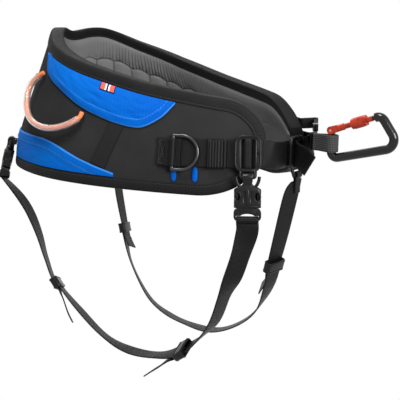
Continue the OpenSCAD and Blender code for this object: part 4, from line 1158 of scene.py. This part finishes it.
# %% [markdown]
# ## Leg loops
# %% Leg straps
LEG_W, LEG_T = 25, 1.7
REAR_S, REAR_H = 100, -40
CLIP_W, CLIP_T, SOCKET_L, PLUG_L = 31, 11, 27, 15
HOOK_BORE = 2.9
HOOK_R = HOOK_BORE + 2.4
BAR_Y = -20.5 - HOOK_R - 0.5
BAR_Z = BUCKLE_T/2 + 2.6
SOCKET_TOP = -HOOK_BORE - 3.4
MOUTH_Z = SOCKET_TOP - SOCKET_L
HANG = -MOUTH_Z + PLUG_L + GAP + LEG_T
_, up_here, out_here = belt_axes(BUCKLE_S, WEB_H)
front_bar = belt(BUCKLE_S, WEB_H, BUCKLE_W) + up_here*BAR_Y + out_here*BAR_Z
front_turn = -plan(BUCKLE_S)[2]
FRONT_CLIP = (Matrix.Translation(front_bar*MM) @ Matrix.Rotation(front_turn, 4, "Z")
              @ Matrix.Rotation(radians(-8), 4, "X"))
REAR_CLIP = (Matrix.Translation(belt(REAR_S, REAR_H, 9)*MM) @ Matrix.Rotation(-plan(REAR_S)[2], 4, "Z")
             @ Matrix.Rotation(-0.75*atan(FLARE), 4, "X"))
MIRROR = Matrix.Scale(-1, 4, (0, 1, 0))


def front_end(d):
    return FRONT_CLIP @ Vector((0, 0, -d*MM))/MM


def rear_end(d, sign=1):
    p = REAR_CLIP @ Vector((0, 0, -d*MM))/MM
    return Vector((p.x, p.y*sign, p.z))


ACROSS, EDGE, REAR_EDGE = (0, 1, 0), (-0.1, 1, 0), (-0.7, 0.65, -0.3)
FRONT_WAY = tuple(belt_axes(BUCKLE_S, WEB_H)[0])
FRONT_SLIDE, REAR_SLIDE, LEFT_SLIDE = (-0.25, 0.95, 0.25), (-0.5, 0.75, -0.4), (-0.35, 0.9, -0.2)
RIGHT = [(front_end(HANG - 0.5), FRONT_WAY), (front_end(HANG + 10), FRONT_WAY),
         ((143, -78, -140), (0.5, 0.85, -0.2)), ((133, -80, -170), (0.45, 0.9, -0.2)),
         ((121, -80, -196), (0.1, 1, -0.05)), ((104, -81, -236), (0, 1, -0.05)),
         ((65, -84, -275), FRONT_SLIDE), ((28, -87, -292), (-0.05, 1, -0.05)),
         ((-15, -90, -296), (-0.1, 1, -0.15)), ((-57, -92, -286), (-0.25, 0.9, -0.4)),
         ((-98, -95, -259), (-0.35, 0.85, -0.35)), ((-135, -98, -227), REAR_SLIDE),
         ((-152, -98, -196), (-0.6, 0.8, -0.25)), ((-162, -99, -165), (-0.5, 0.85, -0.15)),
         ((-175, -101, -136), (-0.4, 0.9, -0.15)), ((-192, -105, -112), (-0.4, 0.9, -0.15)),
         (rear_end(HANG - 0.5), (-0.745, 0.667, 0))]
R_FRONT, R_REAR = 6, 11
EYE_D = 34
LEFT = [((154 + BAR_Z, 20, -38 - EYE_D), ACROSS), ((151, 21, -90), (0.3, 0.95, 0)),
        ((138, 23, -143), (0.3, 0.95, 0)), ((126, 26, -185), (0.2, 1, 0)),
        ((117, 28, -215), (0.1, 1, 0.05)), ((100, 32, -248), (-0.1, 0.95, 0.25)),
        ((68, 39, -279), (0.1, 1, 0.2)), ((20, 50, -305), (0.2, 1, 0)),
        ((-33, 62, -313), (0.2, 0.95, -0.25)), ((-84, 73, -311), (0.15, 0.9, -0.4)),
        ((-130, 84, -296), (-0.2, 0.8, -0.55)), ((-171, 94, -253), (-0.5, 0.75, -0.4)),
        ((-188, 98, -201), LEFT_SLIDE), ((-204, 103, -150), (-0.25, 0.95, -0.2)),
        ((-213, 109, -112), (-0.25, 0.95, -0.2)), (rear_end(HANG - 0.5, -1), (0.745, 0.667, 0))]
L_FRONT, L_REAR = 3, 12
SPLIT = LEG_T/2 + GAP + 0.15
T_R1 = [((123, -83, -232), (0, 1, 0)), ((65, -84, -275), FRONT_SLIDE),
        ((47, -86, -288), (-0.2, 1, 0.15)), ((30, -87, -304), EDGE), ((14, -88, -317), EDGE)]
T_R2 = [((-180, -100, -180), REAR_SLIDE), ((-135, -98, -227), REAR_SLIDE),
        ((-126, -97, -243), REAR_EDGE), ((-119, -96, -262), REAR_EDGE), ((-109, -96, -277), REAR_EDGE)]
T_L1 = [((138, 23, -133), (0.2, 1, 0)), ((126, 26, -185), (0.2, 1, 0)), ((117, 28, -205), (-0.4, 0.9, 0)),
        ((106, 30, -221), (-0.5, 0.85, 0))]
T_L2 = [((-213, 104, -114), LEFT_SLIDE), ((-188, 98, -201), LEFT_SLIDE), ((-180, 95, -217), LEFT_SLIDE),
        ((-170, 92, -229), LEFT_SLIDE)]


def leg(route, shift, first, last, curl=0.5):
    return strap("leg", route_frames(route, 10, shift, first, last, curl), LEG_W, LEG_T)


def plug_fold(matrix):
    """The strap's fold round the plug's lower bar."""
    half, z0, z1 = CLIP_T/2 + GAP + LEG_T/2, -LEG_T/2, 3.2 + 2*GAP + LEG_T/2
    mid, tall = (z0 + z1)/2, (z1 - z0)/2
    path = [(0, half*bulge(cos(a), 0.4), MOUTH_Z - PLUG_L - GAP + mid + tall*bulge(sin(a), 0.7))
            for a in [2*pi*k/48 for k in range(49)]]
    return strap("fold", local_frames(path, (1, 0, 0), matrix), LEG_W, LEG_T)


dress(join("Leg_front_right", leg(RIGHT, SPLIT, 0, R_FRONT), leg(T_R1, SPLIT, 1, 4), plug_fold(FRONT_CLIP)),
      "webbing", ["leg_front_right"])
dress(leg(RIGHT, -SPLIT, R_FRONT, R_REAR), "webbing", ["leg_middle_right"]).name = "Leg_middle_right"
dress(join("Leg_rear_right", leg(RIGHT, SPLIT, R_REAR, 16), leg(T_R2, -SPLIT, 1, 4), plug_fold(REAR_CLIP)),
      "webbing", ["leg_rear_right"])
# the left front strap ends in a narrow sewn eye round the left buckle's lower bar
r = 2.2 + 0.5 + LEG_T/2
path = [(0, BAR_Y - 22 + 3*k, BAR_Z + (LEG_T/2 + 0.05 if k < 6 else LEG_T/2 + 0.4)) for k in range(7)]
path += [(0, BAR_Y + r*sin(a), BAR_Z + r*cos(a)) for a in evenly(-0.4, pi + 0.4, 20)]
path += [(x, y, 2*BAR_Z - z) for x, y, z in reversed(path[:7])]
eye = strap("eye", local_frames(path, (1, 0, 0), LEFT_BUCKLE), 10.8, LEG_T)
dress(join("Leg_front_left", leg(LEFT, -SPLIT, 0, L_FRONT), leg(T_L1, -SPLIT, 1, 3), eye),
      "webbing", ["leg_front_left"])
dress(leg(LEFT, SPLIT, L_FRONT, L_REAR), "webbing", ["leg_middle_left"]).name = "Leg_middle_left"
dress(join("Leg_rear_left", leg(LEFT, -SPLIT, L_REAR, 15), leg(T_L2, SPLIT, 1, 3),
           plug_fold(MIRROR @ REAR_CLIP)), "webbing", ["leg_rear_left"])
print("leg straps done")

# %% [markdown]
# ## Hard parts
# Each is built at the origin from primitives in its own axes, then put in its place.
# %% Hard part tools
def block(size, place=(0, 0, 0), bevel=0.0, steps=3, edges=None):
    """A box of that size in mm with rounded edges; edges picks some of them by direction."""
    bpy.ops.object.select_all(action="DESELECT")
    bpy.ops.mesh.primitive_cube_add(size=1, location=(0, 0, 0))
    made = bpy.context.object
    made.data.transform(Matrix.Translation(Vector(place)*MM) @ Matrix.Diagonal((*[c*MM for c in size], 1)))
    if bevel:
        bpy.ops.object.mode_set(mode="EDIT")
        bpy.ops.mesh.select_mode(type="EDGE")
        bpy.ops.mesh.select_all(action="DESELECT")
        work = bmesh.from_edit_mesh(made.data)
        for e in work.edges:
            way = (e.verts[0].co - e.verts[1].co).normalized()
            e.select = edges is None or abs(way[edges]) > 0.9
        bmesh.update_edit_mesh(made.data)
        bpy.ops.mesh.bevel(offset=bevel*MM, segments=steps, profile=0.5)
        bpy.ops.object.mode_set(mode="OBJECT")
    return made


def pillar(radius, length, place=(0, 0, 0), axis="Z", sides=40):
    """A round bar along an axis, in mm."""
    turn = {"X": (0, pi/2, 0), "Y": (pi/2, 0, 0), "Z": (0, 0, 0)}[axis]
    bpy.ops.object.select_all(action="DESELECT")
    bpy.ops.mesh.primitive_cylinder_add(vertices=sides, radius=radius*MM, depth=length*MM,
                                        location=[c*MM for c in place], rotation=turn)
    made = bpy.context.object
    bpy.ops.object.transform_apply(location=True, rotation=True, scale=True)
    return made


def soften(body, width, steps=2, angle=35):
    """Small rounded edges all over."""
    apply_modifier(body, "BEVEL", width=width*MM, segments=steps, limit_method="ANGLE",
                   angle_limit=radians(angle))
    return body


def wire(name, path, radius):
    """A bent round bar through points in mm, from a curve."""
    curve = bpy.data.curves.new(name, "CURVE")
    curve.dimensions = "3D"
    curve.bevel_depth = radius*MM
    curve.bevel_resolution = 5
    curve.use_fill_caps = True
    line = curve.splines.new("POLY")
    line.points.add(len(path) - 1)
    for point, p in zip(line.points, path):
        point.co = (*[c*MM for c in p], 1)
    made = bpy.data.objects.new(name, curve)
    scene.collection.objects.link(made)
    select_only(made)
    bpy.ops.object.convert(target="MESH")
    return bpy.context.object


def copy_of(piece, name):
    twin = piece.copy()
    twin.data = piece.data.copy()
    twin.name = name
    scene.collection.objects.link(twin)
    return twin


print("hard part tools ready")

# %% [markdown]
# The plate buckle has two slots with the webbing's bar between them, a small eye, and a
# lower bar cranked outward that a leg clip hooks over.
# %% Plate buckles
BUCKLE_H = WEB_W + 9
SLOT_W, SLOT_X = 5, 5.1
RIM_IN, RIM_CORNER = 1.3, 8.7      # the raised rim's distance from the edge, and its corners
CRANK_X, CRANK_R, LOWER_BAR_R = 8, 2.2, 2.15


def make_buckle():
    plate = block((BUCKLE_L, BUCKLE_H, BUCKLE_T), (0, 0, BUCKLE_T/2), 10, 10, edges=2)
    plate = cut(plate, block((SLOT_W, WEB_W + 1, 12), (SLOT_X, 0, 0), 1.4, 3, edges=2),
                block((SLOT_W, WEB_W + 1, 12), (-SLOT_X, 0, 0), 1.4, 3, edges=2),
                pillar(1.0, 12, (BUCKLE_L/2 - 4.2, 0, 0), sides=24))
    plate = soften(plate, 0.8, 3)
    # a raised rim, and ridges beside the slots
    hx, hy = BUCKLE_L/2 - RIM_IN - RIM_CORNER, BUCKLE_H/2 - RIM_IN - RIM_CORNER
    ring = [(x*hx + RIM_CORNER*cos(a), y*hy + RIM_CORNER*sin(a), BUCKLE_T)
            for x, y, a0 in ((1, 1, 0), (-1, 1, pi/2), (-1, -1, pi), (1, -1, 1.5*pi))
            for a in evenly(a0, a0 + pi/2, 8)]
    rim = wire("rim", ring + ring[:1], 1.05)
    ridges = [block((1.1, WEB_W - 2, 1.5), (x, 0, BUCKLE_T), 0.5, 2) for x in (-9.0, 9.0)]
    y0 = -BUCKLE_H/2 + 2.0
    crank = [(-CRANK_X, y0, BUCKLE_T/2), (-CRANK_X, y0 - 2.5, BUCKLE_T/2 + 0.8)]
    arc = [(-CRANK_X + CRANK_R*(1 - cos(a)), BAR_Y + CRANK_R*(1 - sin(a)), BAR_Z)
           for a in evenly(0.1, pi/2, 6)]
    path = crank + arc
    path += [(-x, y, z) for x, y, z in reversed(path)]
    bar = wire("bar", path, LOWER_BAR_R)
    return join("Plate_buckle", plate, bar, rim, *ridges)


buckle = make_buckle()
right_buckle = copy_of(buckle, "Plate_buckle_right")
dress(placed(right_buckle, belt_frame(BUCKLE_S, WEB_H, BUCKLE_W)), "black_plastic", ["plate_buckle_right"])
buckle.name = "Plate_buckle_left"
dress(placed(buckle, LEFT_BUCKLE), "black_plastic", ["plate_buckle_left"])

# %% [markdown]
# A leg clip is a side-release buckle: the socket's two arms carry the hook, and the
# prongs show in its side windows.
# %% Leg clips
def taper(body, steps, up):
    """Draws out a block's end face along Z in steps of (rise, x scale, y scale)."""
    select_only(body)
    bpy.ops.object.mode_set(mode="EDIT")
    bpy.ops.mesh.select_mode(type="FACE")
    bpy.ops.mesh.select_all(action="DESELECT")
    work = bmesh.from_edit_mesh(body.data)
    for f in work.faces:
        f.select = f.normal.z*up > 0.9
    bmesh.update_edit_mesh(body.data)
    for rise, wide, thick in steps:
        bpy.ops.mesh.extrude_region_move(TRANSFORM_OT_translate={"value": (0, 0, up*rise*MM)})
        bpy.ops.transform.resize(value=(wide, thick, 1))
    bpy.ops.object.mode_set(mode="OBJECT")
    return body


WINDOW_X, WINDOW_Z = CLIP_W/2 - 4.6, MOUTH_Z + 12.5


def make_socket():
    tall = SOCKET_L - 7
    body = taper(block((CLIP_W - 1, CLIP_T, tall), (0, 0, MOUTH_Z + tall/2), 3.6, 5, edges=2),
                 ((1.5, 0.88, 0.97), (1.5, 0.76, 0.95), (1.5, 0.68, 0.95), (2, 0.74, 0.95), (4, 1, 1)), 1)
    body = fuse(body, pillar(HOOK_R, 11, axis="X"), block((10, 2*HOOK_R - 1, 9), (0, 0, -4.8), 0.8))
    window = [block((4.8, CLIP_T/2 + 2, 8.5), (k*WINDOW_X, -CLIP_T/2, WINDOW_Z), 2.2, 4, edges=1)
              for k in (-1, 1)]
    groove = [block((1.8, 2.2, 13), (k*3.8, j*CLIP_T/2, MOUTH_Z + 12), 0.8, 2)
              for k in (-1, 1) for j in (-1, 1)]
    body = cut(body, pillar(HOOK_BORE, 40, axis="X"),
               block((CLIP_W - 4.5, CLIP_T - 4, tall), (0, 0, MOUTH_Z + SOCKET_L/2 - 6), 1.2, 2),
               *window, *groove,
               *[pillar(4.4, CLIP_T + 4, (k*(CLIP_W/2 + 2.4), 0, WINDOW_Z), "Y") for k in (-1, 1)])
    extras = []
    for j in (-1, 1):
        extras.append(block((3.6, 2.2, SOCKET_L - 9), (0, j*CLIP_T/2, MOUTH_Z + SOCKET_L/2 - 2), 0.9, 3))
        extras.append(block((CLIP_W - 8, 1.6, 1.6), (0, j*CLIP_T/2, MOUTH_Z + 1.6), 0.6, 2))
    for k in (-1, 1):
        # a curved horn outside each end of the bar, and the window's raised rim
        path = [(k*(3.4 + 9.4*sin(a)**0.9), 0, -13.5 + 14.5*(1 - cos(a))**0.8)
                for a in evenly(0.05, pi/2, 12)]
        extras.append(wire("horn", path, 1.9))
        for j in (-1, 1):
            rim = [(k*WINDOW_X + 3.3*cos(a), j*(CLIP_T/2 - 0.2), WINDOW_Z + 5.2*sin(a))
                   for a in evenly(0, 2*pi, 28)]
            extras.append(wire("rim", rim, 0.75))
    return join("Socket", soften(body, 0.7, 2), *extras)


def make_plug():
    foot, slot_z = MOUTH_Z - PLUG_L, MOUTH_Z - PLUG_L + 4.7
    body = block((CLIP_W - 0.6, CLIP_T, PLUG_L - 0.3), (0, 0, foot + (PLUG_L - 0.3)/2), 5.5, 8, edges=1)
    body = fuse(body, block((6, 4, SOCKET_L - 12), (0, 0, MOUTH_Z + (SOCKET_L - 12)/2 - 1), 0.8))
    arch = pillar(8, 30, (0, 0, 0), "Y")
    arch.data.transform(Matrix.Translation(Vector((0, 0, slot_z + 0.6))*MM)
                        @ Matrix.Diagonal((1, 1, 0.4, 1)))
    body = cut(body, block((LEG_W + 0.6, 30, 3.0), (0, 0, slot_z), 0.9, 3, edges=1), arch)
    body = soften(body, 1.6, 4, 50)
    grip = [block((CLIP_W - 11 - 2*n, 1.2, 1.1), (0, j*CLIP_T/2, MOUTH_Z - 2.4 - 1.9*n), 0.45, 2)
            for n in (0, 1) for j in (-1, 1)]
    return join("Plug", body, *grip)


def make_prong(k):
    z0, long = MOUTH_Z + 0.4, SOCKET_L - 6
    x = k*(CLIP_W/2 - 2 - 1.5 - 0.5)
    arm = block((3, 5.2, long), (x, 0, z0 + long/2), 1.0, 3)
    catch = block((3.6, 6, 8), (x + k*1.5, 0, z0 + long - 7), 1.4, 4)
    ridges = [block((0.6, 5, 0.7), (x + k*3.2, 0, z0 + long - 9.5 + 1.7*n), 0.25, 1) for n in range(4)]
    return join("Prong", arm, catch, *ridges)


socket, plug, prongs = make_socket(), make_plug(), {"a": make_prong(-1), "b": make_prong(1)}
CLIPS = (("front", "right", FRONT_CLIP), ("rear", "right", REAR_CLIP), ("rear", "left", MIRROR @ REAR_CLIP))
for end, side, where in CLIPS:
    for part, kind in ((socket, "socket"), (plug, "plug"), *((prongs[c], "prong_" + c) for c in "ab")):
        node = "_".join((end, kind, side))
        body = node + "_body" if "prong" in kind else "belt"
        dress(placed(copy_of(part, node.capitalize()), where), "black_plastic", [node], body, angle=35)
for part in (socket, plug, *prongs.values()):
    bpy.data.objects.remove(part)
print("clips done")

# %% [markdown]
# A leg strap's slider is a plain rounded sleeve round two layers of webbing.
# %% Sliders
SLIDER_L, SLIDER_IN = 15, 6.4


def slider(name, route, k):
    frames = route_frames(route, 3)
    place, a, b = frames[3*k]
    t = a.cross(b)
    m = Matrix((t, a, b)).transposed().to_4x4()
    m.translation = Vector(route[k][0])*MM
    body = block((SLIDER_L, LEG_W + 5, SLIDER_IN + 4), (0, 0, 0), 3.2, 5, edges=0)
    body = cut(body, block((SLIDER_L + 4, LEG_W + 0.8, SLIDER_IN), (0, 0, 0), 0.8, 2, edges=0))
    lips = [block((1.4, LEG_W + 1, 1.2), (x, 0, z*(SLIDER_IN/2 + 2)), 0.5, 2)
            for x in (-SLIDER_L/2 + 1.8, SLIDER_L/2 - 1.8) for z in (-1, 1)]
    body = join(name, soften(body, 0.7, 3), *lips)
    dress(placed(body, m), "black_plastic", [name.lower()])


for side, route, front, rear in (("right", RIGHT, R_FRONT, R_REAR), ("left", LEFT, L_FRONT, L_REAR)):
    slider("Slider_front_" + side, route, front)
    slider("Slider_rear_" + side, route, rear)

# %% [markdown]
# ## Stitching
# Raised stitches along the pocket's hem and the rear panel; the strap ends' stitches are made with the
# straps.
# %% Stitches
def hem_stitches(name, first, last, edge_at, away, sign, lift, pitch=3.4):
    spots = []
    s = first
    while s < last:
        ahead, up, outward = belt_axes(sign*s, edge_at(s))
        slope = (edge_at(s + 1) - edge_at(s - 1))/2
        along = (ahead + up*slope).normalized()
        inward = outward.cross(along)*sign
        spots.append((belt(sign*s, edge_at(s), lift(s)) + inward*away, along, outward))
        s += pitch/sqrt(1 + slope*slope)
    return stitch_row(name, spots)


ROWS_UP = (8.6, 10.4)      # the two stitch rows, from the edge
REAR_STITCHED = (68, 262)  # along the belt
KINDS = (("Hem_stitches", POCKET_REAR + 7, POCKET_FRONT - 9, pocket_low, 1,
          lambda s: pocket_face(s, 0.12) + 0.1),
         ("Rear_stitches", *REAR_STITCHED, rear_top, -1, lambda s: SKIN + 1.4))
for side, sign in SIDES:
    for name, first, last, edge_at, way, lift in KINDS:
        rows = [hem_stitches(name, first, last, edge_at, way*away, sign, lift) for away in ROWS_UP]
        dress(join(name + "_" + side, *rows), "blue_cloth", look=THREAD_BLUE)
print("stitches done")

# %% [markdown]
# ## Metal parts
# The carabiner, its gate, pin and sleeve, the rings, the rear bars and the small slider
# keep their exact frame shapes, with smooth shading and their own materials.
# %% Frame parts that stay
KEPT = {"carabiner_body": "gloss_black", "nose_stub": "gloss_black", "carabiner_gate": "orange_anodised",
        "lock_sleeve": "orange_anodised", "gate_pin": "pin_steel", "ring_right": "dark_metal",
        "ring_left": "dark_metal", "tow_slider": "dark_metal", "rear_tab_right": "black_plastic",
        "rear_tab_left": "black_plastic"}
for node, slot in KEPT.items():
    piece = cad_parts[node]
    paint(piece, LOOKS[slot], 35)
    if node in ("carabiner_gate", "tow_slider", "rear_tab_right", "rear_tab_left"):
        rounder = piece.modifiers.new("Rounded", "BEVEL")
        rounder.width = 0.35*MM
        rounder.segments = 2
        rounder.limit_method = "ANGLE"
        rounder.angle_limit = radians(40)
print("kept", len(KEPT), "frame parts")
